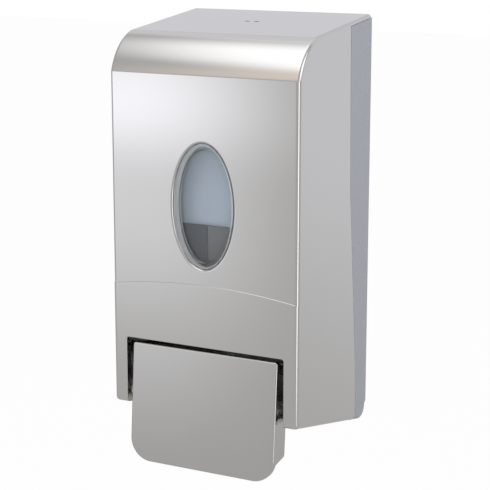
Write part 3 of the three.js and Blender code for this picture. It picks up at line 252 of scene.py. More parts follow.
def rounded(corners, steps=5):
    """Rounds a closed outline: each corner is (u, v) or (u, v, radius)."""
    points = []
    for i, corner in enumerate(corners):
        radius = corner[2] if len(corner) > 2 else 0
        here = Vector(corner[:2])
        before = (Vector(corners[i - 1][:2]) - here).normalized()
        after = (Vector(corners[(i + 1) % len(corners)][:2]) - here).normalized()
        half_angle = before.angle(after) / 2
        if radius < FINE or half_angle > QUARTER - 0.001:
            points.append(tuple(here))
            continue
        reach = radius / math.tan(half_angle)
        centre = here + (before + after).normalized() * radius / math.sin(half_angle)
        first, last = here + before * reach - centre, here + after * reach - centre
        start = math.atan2(first.y, first.x)
        sweep = (math.atan2(last.y, last.x) - start + math.pi) % FULL_TURN - math.pi
        points += arc(centre.x, centre.y, radius, start, start + sweep, steps)
    return points


def brow_arc(case, inset, steps=32):
    """The brow's arc, from the roof's front edge to the crease."""
    start = Vector((case.brow_depth - case.depth, case.height / 2 - case.roof_fall))
    end = Vector((-case.depth, case.height / 2 - case.crease_drop))
    chord = end - start
    rise = math.sqrt(case.brow_radius ** 2 - (chord.length / 2) ** 2)
    centre = (start + end) / 2 + Vector((-chord.y, chord.x)).normalized() * rise
    first, last = start - centre, end - centre
    start_angle = math.atan2(first.y, first.x)
    end_angle = math.atan2(last.y, last.x) % FULL_TURN
    return arc(centre.x, centre.y, case.brow_radius - inset, start_angle, end_angle, steps)


def case_outline(case, inset):
    """The case's side outline as (y, z) points, drawn inward by an inset and run past the wall."""
    front = -case.depth + inset
    heel = max(case.heel_radius - inset, case.fit_gap)
    soft = max(case.crease_radius - inset, case.fit_gap)
    foot = max(case.foot_radius - inset, case.fit_gap)
    heel_y = -inset - heel
    heel_z = base_at(case, heel_y) + (inset + heel) * base_stretch(case)
    tilt = math.atan(case.foot_rise / case.depth)
    brow = brow_arc(case, inset)
    corners = [(OVERRUN, roof_at(case, OVERRUN) - inset * roof_stretch(case))]
    corners += [(*brow[0], soft), *brow[1:-1], (*brow[-1], soft)]
    corners += [(front, base_at(case, front) + inset * base_stretch(case), foot)]
    corners += arc(heel_y, heel_z, heel, -QUARTER - tilt, 0, steps=10)
    corners += [(OVERRUN, heel_z)]
    return rounded(corners)


def seam_line(case, shift):
    """The side seam as (y, z) points from the foot to the roof, moved forward by a shift."""
    bottom = -case.height / 2
    bends = [(case.seam_foot, bottom - OVERRUN), (case.seam_foot, bottom + case.foot_share * case.height),
             (case.seam_lower, bottom + case.lower_share * case.height),
             (case.seam_upper, bottom + case.upper_share * case.height),
             (case.seam_top, -bottom), (case.seam_top, -bottom + OVERRUN)]
    return [(-depth - shift, z) for depth, z in bends]


def deselect():
    """Leaves edit mode with nothing selected."""
    if bpy.context.object and bpy.context.object.mode != "OBJECT":
        bpy.ops.object.mode_set(mode="OBJECT")
    bpy.ops.object.select_all(action="DESELECT")


def take(piece):
    """Selects one piece alone."""
    deselect()
    piece.select_set(True)
    bpy.context.view_layer.objects.active = piece


def edit(piece, mode="FACE"):
    """Opens a piece in edit mode with all of it selected."""
    take(piece)
    bpy.ops.object.mode_set(mode="EDIT")
    bpy.ops.mesh.select_mode(type=mode)
    bpy.ops.mesh.select_all(action="SELECT")


def leave():
    """Leaves edit mode."""
    bpy.ops.object.mode_set(mode="OBJECT")


def pick(piece, kind, test):
    """Opens a piece in edit mode with those vertices or edges selected that pass a test."""
    take(piece)
    mesh = piece.data
    for group in (mesh.vertices, mesh.edges, mesh.polygons):
        for element in group:
            element.select = False
    found = [element for element in getattr(mesh, kind) if test(element)]
    if not found:
        raise RuntimeError(f"{piece.name} has none of the {kind} looked for")
    for element in found:
        element.select = True
    bpy.ops.object.mode_set(mode="EDIT")
    bpy.ops.mesh.select_mode(type={"vertices": "VERT", "edges": "EDGE"}[kind])


def close_mesh(piece):
    """Merges a piece's doubles and turns its faces outward."""
    edit(piece)
    bpy.ops.mesh.remove_doubles(threshold=FINE)
    bpy.ops.mesh.normals_make_consistent(inside=False)
    leave()
    return piece


def move(piece, step):
    """Moves a whole piece within its mesh."""
    edit(piece)
    bpy.ops.transform.translate(value=step)
    leave()


def place(axis, along, u, v):
    """A point from its place along an axis and its two places across it."""
    return {"x": (along, u, v), "y": (u, along, v), "z": (u, v, along)}[axis]


def draw(name, points):
    """Draws a line through points, by extruding one point from place to place."""
    deselect()
    bpy.ops.mesh.primitive_plane_add(size=OVERRUN)
    piece = bpy.context.object
    piece.name = name
    bpy.ops.object.mode_set(mode="EDIT")
    bpy.ops.mesh.select_mode(type="VERT")
    bpy.ops.mesh.merge(type="CENTER")
    bpy.ops.transform.translate(value=points[0])
    for before, after in zip(points, points[1:]):
        step = tuple(b - a for a, b in zip(before, after))
        bpy.ops.mesh.extrude_region_move(TRANSFORM_OT_translate={"value": step})
    bpy.ops.mesh.select_all(action="SELECT")
    return piece


def draw_face(name, outline, axis, along):
    """Draws a closed outline across an axis and fills it."""
    points = [place(axis, along, *point) for point in outline]
    piece = draw(name, points + points[:1])
    bpy.ops.mesh.remove_doubles(threshold=FINE)
    bpy.ops.mesh.edge_face_add()
    return piece


def prism(name, outline, axis, low, high):
    """Extrudes an outline along an axis."""
    piece = draw_face(name, outline, axis, low)
    bpy.ops.mesh.extrude_region_move(TRANSFORM_OT_translate={"value": place(axis, high - low, 0, 0)})
    return close_mesh(piece)


def stack(name, outline, axis, half, middle, levels):
    """Extrudes an outline from level to level and resizes it: each level is (along, growth)."""
    piece = draw_face(name, outline, axis, levels[0][0])
    (half_u, half_v), (along, growth) = half, levels[0]
    for next_along, next_growth in levels[1:]:
        bpy.ops.mesh.extrude_region_move(
            TRANSFORM_OT_translate={"value": place(axis, next_along - along, 0, 0)})
        factors = [(side + next_growth) / (side + growth) for side in (half_u, half_v)]
        bpy.ops.transform.resize(
            value=place(axis, 1, *factors), center_override=place(axis, next_along, *middle))
        along, growth = next_along, next_growth
    return close_mesh(piece)


def turned(name, profile, axis, u, v, steps=ROUND_STEPS):
    """Spins a profile of (radius, along) points round an axis."""
    closed = profile[0][0] > FINE or profile[-1][0] > FINE
    points = [place(axis, along, u + radius, v) for radius, along in profile]
    piece = draw(name, points + points[:1] if closed else points)
    bpy.ops.mesh.remove_doubles(threshold=FINE)
    bpy.ops.mesh.spin(steps=steps, angle=FULL_TURN, use_auto_merge=True,
                      center=place(axis, 0, u, v), axis=place(axis, 1, 0, 0))
    return close_mesh(piece)


def rod(name, radius, axis, low, high, u, v, soft=0.0, steps=ROUND_STEPS):
    """A round bar with softened ends."""
    ends = [(0, low), (radius, low, soft), (radius, high, soft), (0, high)]
    return turned(name, soft_profile(ends), axis, u, v, steps)


def tube(name, inner, outer, axis, low, high, u, v, soft):
    """A round sleeve with softened rims."""
    profile = [(inner, low, soft), (outer, low, soft), (outer, high, soft), (inner, high, soft)]
    return turned(name, rounded(profile, steps=3), axis, u, v)


def soft_profile(corners, steps=4):
    """Rounds a turned profile: each corner is (radius, along) or (radius, along, softness)."""
    points = rounded(corners, steps)
    if corners[0][0] > FINE:
        return points
    start = Vector(corners[0])
    first = next(i for i, point in enumerate(points) if (Vector(point) - start).length < 2 * FINE)
    return points[first:] + points[:first]


def block(name, low, high, soft=0.0):
    """A box with softened edges, from its lowest to its highest corner."""
    deselect()
    bpy.ops.mesh.primitive_cube_add(size=1)
    piece = bpy.context.object
    piece.name = name
    bpy.ops.object.mode_set(mode="EDIT")
    bpy.ops.transform.resize(value=[h - l for l, h in zip(low, high)])
    bpy.ops.transform.translate(value=[(h + l) / 2 for l, h in zip(low, high)])
    if soft > 0:
        bpy.ops.mesh.bevel(offset=soft, segments=3, affect="EDGES")
    return close_mesh(piece)


def carve(piece, tool, operation="DIFFERENCE"):
    """Cuts, joins or crosses a piece with a tool, and removes the tool."""
    take(piece)
    change = piece.modifiers.new("carve", "BOOLEAN")
    change.operation = operation
    change.solver = "EXACT"
    change.object = tool
    bpy.ops.object.modifier_apply(modifier=change.name)
    bpy.data.objects.remove(tool)
    return piece


def cut(piece, *tools):
    """Cuts each tool out of a piece."""
    for tool in tools:
        carve(piece, tool)
    return piece


def join(piece, *others):
    """Joins each other solid to a piece."""
    for other in others:
        carve(piece, other, "UNION")
    return piece


def bevel_where(piece, test, width, segments):
    """Rounds the edges whose two ends pass a test."""
    places = [vertex.co.copy() for vertex in piece.data.vertices]
    pick(piece, "edges", lambda edge: test(*[places[i] for i in edge.vertices]))
    bpy.ops.mesh.bevel(offset=width, segments=segments, affect="EDGES", clamp_overlap=False)
    leave()
    return piece


def soften(piece, width, degrees=35, segments=2):
    """Rounds a piece's sharp edges."""
    take(piece)
    bevel = piece.modifiers.new("soften", "BEVEL")
    bevel.width = width
    bevel.segments = segments
    bevel.limit_method = "ANGLE"
    bevel.angle_limit = math.radians(degrees)
    bevel.harden_normals = False
    bpy.ops.object.modifier_apply(modifier=bevel.name)
    return piece


def shade(piece, degrees=32):
    """Shades a piece smooth up to an angle, with large faces kept flat."""
    take(piece)
    bpy.ops.object.shade_smooth_by_angle(angle=math.radians(degrees))
    weigh = piece.modifiers.new("weigh", "WEIGHTED_NORMAL")
    weigh.keep_sharp = True
    bpy.ops.object.modifier_apply(modifier=weigh.name)
    return piece


def refined_copy(node, softness, degrees=35):
    """A merged and softened copy of a plain solid."""
    piece = bpy.data.objects.new(f"{node}_refined", frame["nodes"][node].data.copy())
    bpy.context.scene.collection.objects.link(piece)
    take(piece)
    if piece.data.has_custom_normals:
        bpy.ops.mesh.customdata_custom_splitnormals_clear()
    close_mesh(piece)
    edit(piece)
    bpy.ops.mesh.dissolve_limited(angle_limit=math.radians(1))
    leave()
    if softness > 0:
        soften(piece, softness, degrees)
    return piece


def hand_over(piece, node, finish, shaded=True):
    """Puts a finished piece, with its shading and its material, in the place of a plain solid."""
    if shaded:
        shade(piece)
    piece.name = f"{node}_finished"
    piece.data.name = piece.name
    slot, material = finish()
    piece.data.materials.clear()
    piece.data.materials.append(material)
    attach(piece, frame["nodes"][node]["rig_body"])
    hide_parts(node)


class LeverSizes(bpy.types.PropertyGroup):
    """The push lever and the rod that it turns on."""
    side_gap: length("Side gap", "Between the lever's plate and the slot's side", 4.1)
    height: length("Height", "Height of the lever's plate", 74.2)
    lean: bpy.props.FloatProperty(
        name="Lean", description="How far the lever's foot leans forward",
        default=math.radians(4.5), subtype="ANGLE")
    top_gap: length("Top gap", "Below the slot's top edge", 2.6)
    top_inset: length("Top inset", "How far its top edge stands behind the front", 0.3)
    thickness: length("Thickness", "Thickness of the plate at its rim", 5)
    face_wall: length("Face wall", "Thickness of the plate's face", 1.5)
    rim: length("Rim", "Thickness of the plate's rim", 1.3)
    edge_radius: length("Edge radius", "Rounding round the plate's face", 1.1)
    foot_radius: length("Foot radius", "Radius of the lower corners", 14)
    head_radius: length("Head radius", "Radius of the upper corners", 2)
    setback: length("Pivot setback", "From the lever's face back to its pivot", 8)
    drop: length("Pivot drop", "From the lever's top down to its pivot", 6)
    frame_softness: length("Frame softness", "Rounding of the frame's edges", 0.3)
    rod_radius: length("Rod radius", "Radius of the pivot rod", 1.5)
    rod_softness: length("Rod softness", "Rounding of the rod's ends", 0.3)
    bush_softness: length("Bush softness", "Rounding of the bushes' rims", 0.25)
    clip_softness: length("Clip softness", "Rounding of the clips' edges", 0.15)
    bush_wall: length("Bush wall", "Thickness of the rod's bushes", 1)
    clip_ring: length("Clip ring", "Width of the rod's clips", 1.6)
    clip_mouth: length("Clip mouth", "Opening of the rod's clips", 2.4)
    screw_margin: length("Screw margin", "From the lever's side to its screws", 19.2)
    screw_drop: length("Screw drop", "From the lever's top to its screws", 34)
    screw_skin: length("Screw skin", "Metal left in front of each screw", 0.5)
    frame_web: length("Frame web", "Thickness of the frame's web behind the plate", 2)


def tooth_place(case):
    """Rear side and top of the latch's tooth, which the cover's keeper follows."""
    top = roof_at(case, -case.latch_depth) - case.wall * roof_stretch(case) - case.latch_roof_gap
    return case.tooth / 2 - case.latch_depth, top


def slot_places(case, front):
    """Half width, top and foot of the lever's slot."""
    foot = -case.height / 2 + case.foot_rise
    return SimpleNamespace(half=case.width / 2 - front.slot_side, top=foot + front.slot_height, foot=foot)


def window_height(case, front):
    """Height of the window's middle."""
    return case.height / 2 - case.crease_drop - front.window_drop


def pivot_place(case, front, lever):
    """Depth and height of the lever's pivot."""
    slot = slot_places(case, front)
    top_y, top_z = -case.depth + lever.top_inset, slot.top - lever.top_gap
    across, down = math.cos(lever.lean), math.sin(lever.lean)
    return (top_y + lever.setback * across - lever.drop * down,
            top_z - lever.drop * across - lever.setback * down)


def hinge_place(case):
    """Depth and height of the cover's hinge."""
    y = -(case.seam_foot + case.fit_gap / 2 + case.hinge_inset)
    return y, base_at(case, y) + case.hinge_inset * base_stretch(case)


def middle_of(node):
    """Middle of a plain solid's box."""
    low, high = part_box(node)
    return (low + high) / 2


def members(group):
    """The nodes whose names start alike, in order."""
    return sorted(node for node in frame["nodes"] if node.startswith(group))


def screw_places(*groups):
    """Where the screws of some groups stand, as (x, z)."""
    middles = [middle_of(node) for group in groups for node in members(group)]
    return [(middle.x, middle.z) for middle in middles]


def port_depth():
    """Depth of the soap's way down, from the tank's neck through the pump to the nozzle."""
    return middle_of("nozzle").y


def case_block(case, name, inset):
    """The case as one block, with its side edges rounded where it has no inset."""
    half = case.width / 2 - inset
    piece = prism(name, case_outline(case, inset), "x", -half, half)
    if inset:
        return piece

    def at_side(a, b):
        return min(abs(a.x), abs(b.x)) > half - FINE and a.x * b.x > 0
    return bevel_where(piece, at_side, case.edge_radius, segments=8)


def behind_seam(case, shift, roof_inset):
    """All that lies behind the side seam, up to a slope below the roof."""
    seam = seam_line(case, shift)
    corner, rear = [(y, roof_at(case, y) - roof_inset * roof_stretch(case)) for y in (seam[-1][0], OVERRUN)]
    (low_y, low_z), (high_y, high_z) = seam[-3], seam[-2]
    seam_y = low_y + (high_y - low_y) * (corner[1] - low_z) / (high_z - low_z)
    outline = seam[:-2] + [(seam_y, corner[1]), rear, (OVERRUN, seam[0][1])]
    return prism("behind_seam", outline, "x", -case.width, case.width)


def on_seam(case, shift):
    """A test for edges that lie on the seam, on the case's outer sides."""
    points = seam_line(case, shift)
    outer, close = case.width / 2 - 5 * FINE, 10 * FINE

    def distance(co):
        near = []
        for start, end in zip(points, points[1:]):
            away, along = Vector(co.yz) - Vector(start), Vector(end) - Vector(start)
            nearest = max(0, min(1, away @ along / along.length_squared))
            near.append((away - along * nearest).length)
        return min(near)
    return lambda a, b: all(abs(co.x) > outer and distance(co) < close for co in (a, b))


def arch_place(case, front):
    """Height of the middle of the panel's arch, and its radius."""
    radius = ((case.width / 2) ** 2 + front.arch_rise ** 2) / (2 * front.arch_rise)
    return front.arch_height + case.foot_rise - case.height / 2 - radius, radius


def lower_panel(case, front):
    """The lower front panel, a layer that ends in an arched edge."""
    panel = case_block(case, "lower_panel", 0)
    move(panel, (0, -front.panel_proud, 0))
    middle, radius = arch_place(case, front)
    past_sides = 1.05
    reach = math.asin(case.width / 2 / radius) * past_sides
    top = arc(0, middle, radius, QUARTER - reach, QUARTER + reach, steps=48)
    corners = [(-case.width, -case.height / 2), (case.width, -case.height / 2)]
    outline = [*corners, (case.width, top[0][1]), *top, (-case.width, top[-1][1])]
    rear = case.edge_radius + case.fit_gap - case.depth
    return carve(panel, prism("layer", outline, "y", -case.depth - OVERRUN, rear), "INTERSECT")


def on_arch(case, front):
    """A test for the outer edge of the panel's arch."""
    middle, radius = arch_place(case, front)
    soft, half = case.edge_radius, case.width / 2
    close = 50 * FINE

    def near(co):
        beyond = max(0, abs(co.x) - half + soft)
        face = -case.depth - front.panel_proud + soft - math.sqrt(max(0, soft ** 2 - beyond ** 2))
        on_arc = abs(math.hypot(co.x, co.z - middle) - radius) < close
        return on_arc and abs(co.y - face) < close and beyond < soft / 2
    return lambda a, b: near(a) and near(b)


def flared_cutter(name, outline, half, middle, rear, face, softness):
    """A cutter along y whose end flares where it leaves the face, so that the rim is rounded."""
    flare = [(face + softness * (1 - math.sin(t)), softness * (1 - math.cos(t))) for t in quarter_turn(6)]
    return stack(name, outline, "y", half, middle, [(rear, 0), *flare, (face - OVERRUN, softness)])


def window_cutter(case, front):
    """Cuts the sight window's opening, with a rounded rim."""
    middle = (0, window_height(case, front))
    half = (front.window_half_width, front.window_half_height)
    return flared_cutter("window", oval(*middle, *half), half, middle, -case.depth + case.wall + OVERRUN,
                         -case.depth, front.window_softness)


def slot_cutter(case, front):
    """Cuts the lever's slot, with rounded edges."""
    slot = slot_places(case, front)
    low = slot.foot - case.height
    middle = (0, (low + slot.top) / 2)
    half = (slot.half, (slot.top - low) / 2)
    outline = rounded_rectangle((-slot.half, slot.half), (low, slot.top), 0, front.slot_corner)
    return flared_cutter("slot", outline, half, middle, -case.depth + case.wall + case.fit_gap,
                         -case.depth - front.panel_proud, front.slot_softness)


def floor_cutter(case, front):
    """Cuts the opening in the cover's floor, which the nozzle passes."""
    slot = slot_places(case, front)
    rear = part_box("nozzle")[1].y + front.nozzle_room
    outline = rounded_rectangle((-slot.half, slot.half), (-case.depth - OVERRUN, rear),
                                0, front.floor_corner)
    return prism("floor", outline, "z", -case.height, slot.foot + case.wall + case.fit_gap)


def heel_cutter(case):
    """Cuts the cover's corner that turns inside the wall plate's rim, round about the hinge."""
    y, z = hinge_place(case)
    corner = block("heel", (-case.width, y, -case.height), (case.width, OVERRUN, z))
    end = case.width + OVERRUN
    return cut(corner, rod("hinge_round", case.hinge_inset, "x", -end, end, y, z))


def cover_fittings(case, front, lever):
    """The flanges, lugs, bosses, posts and keeper inside the cover."""
    inner, face = case.width / 2 - case.wall, -case.depth
    slot = slot_places(case, front)
    pivot_y, pivot_z = pivot_place(case, front, lever)
    hinge = hinge_place(case)
    root, soft = face + case.wall / 2, case.fitting_softness
    fittings = []
    for side in (-1, 1):
        flange = sorted((side * slot.half, side * (slot.half + front.slot_flange_wall)))
        lug = sorted((side * slot.half, side * (inner - front.clip_room)))
        boss = sorted((side * (inner - case.hinge_boss), side * (inner + case.wall / 2)))
        fittings += [
            block("flange", (flange[0], root, slot.foot),
                  (flange[1], face + front.slot_flange, slot.top - front.slot_flange_drop), soft),
            block("lug", (lug[0], root, pivot_z - front.lug_margin),
                  (lug[1], pivot_y + front.lug_margin, pivot_z + front.lug_margin), soft),
            rod("boss", case.hinge_inset, "x", *boss, *hinge, soft)]
    post_end = face + case.wall + case.fit_gap + front.lens_flange
    fittings += [rod("post", front.post_radius, "y", root, post_end, x, z, soft)
                 for x, z in screw_places("retainer_screw")]
    tooth_rear, tooth_top = tooth_place(case)
    rear = tooth_rear + case.fit_gap
    keeper_top = roof_at(case, rear) - case.wall / 2
    keeper = block("keeper", (-case.keeper_half, rear, tooth_top - case.keeper_overlap),
                   (case.keeper_half, rear + case.keeper_wall, keeper_top), soft)
    return [*fittings, keeper]


def cover_bores(case, front, lever, screws):
    """The bores for the pivot rod, the hinge pins, the ring's screws and the key."""
    inner = case.width / 2 - case.wall
    slot = slot_places(case, front)
    pivot, hinge = pivot_place(case, front, lever), hinge_place(case)
    bores = []
    for side in (-1, 1):
        lug = sorted((side * (slot.half - OVERRUN), side * inner))
        boss = sorted((side * (inner - case.hinge_boss - OVERRUN), side * inner))
        bores.append(rod("lug_bore", lever.rod_radius + case.fit_gap, "x", *lug, *pivot))
        bores.append(rod("hinge_bore", screws.pin_radius + case.fit_gap, "x", *boss, *hinge))
        x, y = side * case.key_spacing / 2, -case.latch_depth
        bores.append(block("key_slot", (x - case.key_width / 2, y - case.key_depth / 2, 0),
                           (x + case.key_width / 2, y + case.key_depth / 2, case.height)))
    rear = -case.depth + case.wall + case.fit_gap + front.lens_flange
    pilot = rear - (screws.short_length - case.plate_rim)
    bores += [rod("pilot", screws.shank_radius + case.fit_gap, "y", pilot, rear + OVERRUN, x, z)
              for x, z in screw_places("retainer_screw")]
    return bores


class DISPENSER_OT_front_cover(bpy.types.Operator):
    """Models the plated cover: brow, front, sides, proud panel, window, slot and inner fittings"""
    bl_idname = "dispenser.front_cover"
    bl_label = "Front Cover"

    def execute(self, context):
        case, front = context.scene.dispenser_case, context.scene.dispenser_front
        lever, screws = context.scene.dispenser_lever, context.scene.dispenser_screws
        cover = join(case_block(case, "cover", 0), lower_panel(case, front))
        bevel_where(cover, on_arch(case, front), front.arch_softness, segments=4)
        cut(cover, case_block(case, "hollow", case.wall), wall_side(case, -case.plate_wall / 2),
            behind_seam(case, case.fit_gap / 2, case.wall))
        bevel_where(cover, on_seam(case, case.fit_gap / 2), case.seam_softness, segments=3)
        inner = case.width / 2 - case.wall
        rear_floor = block("rear_floor", (-inner, -front.floor_rear, -case.height),
                           (inner, OVERRUN, hinge_place(case)[1] + case.hinge_inset))
        cut(cover, heel_cutter(case), rear_floor, window_cutter(case, front),
            slot_cutter(case, front), floor_cutter(case, front))
        join(cover, *cover_fittings(case, front, lever))
        cut(cover, *cover_bores(case, front, lever, screws))
        close_mesh(cover)
        hand_over(cover, "front_cover", satin_chrome)
        return {"FINISHED"}


class DISPENSER_OT_back_plate(bpy.types.Operator):
    """Models the grained wall plate: rims, keyholes, posts and hinge lugs"""
    bl_idname = "dispenser.back_plate"
    bl_label = "Wall Plate"

    def execute(self, context):
        case, screws = context.scene.dispenser_case, context.scene.dispenser_screws
        plate = carve(case_block(case, "plate", 0),
                      behind_seam(case, -case.fit_gap / 2, case.wall + case.fit_gap), "INTERSECT")
        cut(plate, wall_side(case, 0))
        bevel_where(plate, on_seam(case, -case.fit_gap / 2), case.seam_softness, segments=3)
        cut(plate, plate_hollow(case), *keyholes(case))
        holes = screw_places("carrier_screw", "latch_screw")
        face, root = -case.plate_wall - case.standoff_height, -case.plate_wall / 2
        for x, z in holes:
            join(plate, rod("post", case.standoff_radius, "y", face, root, x, z, case.standoff_softness))
        join(plate, *[hinge_lug(case, screws, side) for side in (-1, 1)])
        bore_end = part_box("carrier_screw_1")[1].y + case.fit_gap
        for x, z in holes:
            cut(plate, rod("bore", screws.shank_radius + case.fit_gap, "y", face - OVERRUN, bore_end, x, z))
        hand_over(close_mesh(plate), "back_plate", grained_abs)
        return {"FINISHED"}


def wall_side(case, rear):
    """All that lies behind a depth, on the wall's side."""
    return block("wall_side", (-case.width, rear, -case.height), (case.width, case.depth, case.height))


def plate_hollow(case):
    """The hollow inside the wall plate's rims."""
    rim, inset = case.plate_rim, case.wall + case.fit_gap + case.plate_rim
    back, front, heel = -case.plate_wall, -case.depth, case.heel_radius
    low = base_at(case, -heel)
    outline = [
        (back, roof_at(case, back) - inset * roof_stretch(case)),
        (front, roof_at(case, front) - inset * roof_stretch(case)),
        (front, base_at(case, front) + rim * base_stretch(case)),
        (-heel, low + rim * base_stretch(case)),
        (back, low + heel - rim)]
    half = case.width / 2 - rim
    return prism("plate_hollow", outline, "x", -half, half)


def keyholes(case):
    """The four keyholes that hang the plate on the wall's screws."""
    cutters = []
    for side_x in (-1, 1):
        for side_z in (-1, 1):
            x = side_x * (case.width / 2 - case.keyhole_side)
            z = side_z * (case.height / 2 - case.keyhole_end)
            half, top = case.keyhole_slot / 2, z + case.keyhole_reach
            widen = math.asin(half / case.keyhole_radius)
            outline = arc(x, z, case.keyhole_radius, QUARTER + widen, QUARTER - widen + FULL_TURN, steps=40)
            outline += arc(x, top, half, 0, math.pi, steps=16)
            cutters.append(prism("keyhole", outline, "y", -case.plate_wall - OVERRUN, OVERRUN))
    return cutters


def hinge_lug(case, screws, side):
    """The lug on the wall plate that holds a hinge pin."""
    outer = case.width / 2 - case.wall - case.hinge_boss - case.fit_gap
    ends = sorted((side * (outer - case.hinge_lug), side * outer))
    y, z = hinge_place(case)
    radius = case.hinge_inset - case.fit_gap
    rear = -case.plate_wall / 2
    outline = [(rear, z - radius), (y, z - radius), (y, z + radius), (rear, z + 2 * radius)]
    arm = join(prism("lug", outline, "x", *ends), rod("eye", radius, "x", *ends, y, z))
    return cut(arm, rod("bore", screws.pin_radius + case.fit_gap, "x",
                        ends[0] - OVERRUN, ends[1] + OVERRUN, y, z))


class DISPENSER_OT_window(bpy.types.Operator):
    """Models the clear sight window and the ring that holds it from behind"""
    bl_idname = "dispenser.window"
    bl_label = "Sight Window"

    def execute(self, context):
        case, front = context.scene.dispenser_case, context.scene.dispenser_front
        hand_over(window_lens(case, front), "window_lens", clear_acrylic)
        ring = refined_copy("window_retainer", case.inner_softness)
        hand_over(ring, "window_retainer", black_nylon)
        return {"FINISHED"}


def window_lens(case, front):
    """An oval plug with a raised band round a dished pane, on a lip that stays behind the cover."""
    middle = (0, window_height(case, front))
    gap, soft, face = case.fit_gap, front.lens_softness, -case.depth + front.lens_recess
    rear = -case.depth + case.wall + gap + front.lens_flange
    half = (front.window_half_width - gap, front.window_half_height - gap)
    lip = front.lens_lip + gap
    root = rear - front.lens_flange
    inner, foot = -front.lens_band, face + front.lens_dip
    turns = quarter_turn(5)
    edge = [(face + soft * (1 - math.sin(t)), -soft * (1 - math.cos(t))) for t in turns]
    dish = [(face + soft * (1 - math.cos(t)), inner - soft * math.sin(t)) for t in turns]
    hollow = [(foot - soft * (1 - math.sin(t)), inner - soft * (2 - math.cos(t))) for t in turns]
    levels = [(rear, lip - gap / 2), (rear - gap / 2, lip), (root + gap / 2, lip), (root, lip - gap / 2),
              (root, 0), *edge, *dish, *hollow]
    outline = oval(*middle, half[0] + lip - gap / 2, half[1] + lip - gap / 2)
    return stack("lens", outline, "y", half, middle, levels)


def quarter_turn(steps):
    """Angles from zero to a quarter turn."""
    return [QUARTER * i / steps for i in range(steps + 1)]


class DISPENSER_OT_lever(bpy.types.Operator):
    """Models the push lever: its face plate and the frame behind it"""
    bl_idname = "dispenser.lever"
    bl_label = "Push Lever"

    def execute(self, context):
        case, front, lever = (context.scene.dispenser_case, context.scene.dispenser_front,
                              context.scene.dispenser_lever)
        plate = lever_plate(case, front, lever, context.scene.dispenser_screws)
        hand_over(plate, "lever_plate", lever_chrome)
        box = refined_copy("lever_frame", lever.frame_softness)
        hand_over(box, "lever_frame", lever_chrome)
        return {"FINISHED"}


def lever_plate(case, front, lever, screws):
    """The face plate, drawn upright and then leaned about the pivot."""
    y, z = pivot_place(case, front, lever)
    half = slot_places(case, front).half - lever.side_gap
    face, top = y - lever.setback, z + lever.drop
    low = top - lever.height
    outline = rounded_rectangle((-half, half), (low, top), lever.foot_radius, lever.head_radius, steps=12)
    plate = prism("lever_plate", outline, "y", face + lever.thickness - lever.rim, face)
    bevel_where(plate, lambda a, b: max(a.y, b.y) < face + FINE, lever.edge_radius, segments=5)
    rim = lever.rim
    inner = rounded_rectangle((rim - half, half - rim), (low + rim, top - rim),
                              lever.foot_radius - rim, lever.head_radius / 2, steps=12)
    cut(plate, prism("pocket", inner, "y", face + lever.face_wall, face + 2 * lever.thickness))
    for side in (-1, 1):
        cut(plate, rod("bore", screws.shank_radius + case.fit_gap, "y", face + lever.screw_skin,
                       face + lever.thickness, side * (half - lever.screw_margin), top - lever.screw_drop))
    return lean(plate, lever.lean, (0, y, z))


def lean(piece, angle, centre):
    """Leans a piece about a line across the case, its foot forward."""
    edit(piece)
    bpy.ops.transform.rotate(value=angle, orient_axis="X", center_override=centre)
    return close_mesh(piece)


class DISPENSER_OT_pivot(bpy.types.Operator):
    """Models the lever's pivot rod with its two bushes and two clips"""
    bl_idname = "dispenser.pivot"
    bl_label = "Lever Pivot"

    def execute(self, context):
        case, front, lever = (context.scene.dispenser_case, context.scene.dispenser_front,
                              context.scene.dispenser_lever)
        y, z = pivot_place(case, front, lever)
        low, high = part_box("lever_pivot_rod")
        bar = rod("rod", lever.rod_radius, "x", low.x, high.x, y, z, lever.rod_softness)
        hand_over(bar, "lever_pivot_rod", bright_steel)
        inner = lever.rod_radius + case.fit_gap
        for side in ("left", "right"):
            low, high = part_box(f"lever_bush_{side}")
            bush = tube("bush", inner, inner + lever.bush_wall, "x", low.x, high.x, y, z,
                        lever.bush_softness)
            hand_over(bush, f"lever_bush_{side}", black_nylon)
            low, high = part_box(f"pivot_clip_{side}")
            clip = pivot_clip(lever, inner, y, z, low.x, high.x)
            hand_over(clip, f"pivot_clip_{side}", bright_steel)
        return {"FINISHED"}


def pivot_clip(lever, inner, y, z, low, high):
    """An open ring with rounded tips that keeps the rod in its lugs."""
    outer = inner + lever.clip_ring
    mouth = lever.clip_mouth / 2
    start = -QUARTER + math.asin(mouth / outer)
    inner_start = -QUARTER + math.asin(mouth / inner)
    ring = arc(y, z, outer, start, math.pi - start, steps=48)
    hole = arc(y, z, inner, inner_start, math.pi - inner_start, steps=36)
    clip = prism("clip", ring + hole[::-1], "x", low, high)
    return soften(clip, lever.clip_softness, degrees=40)


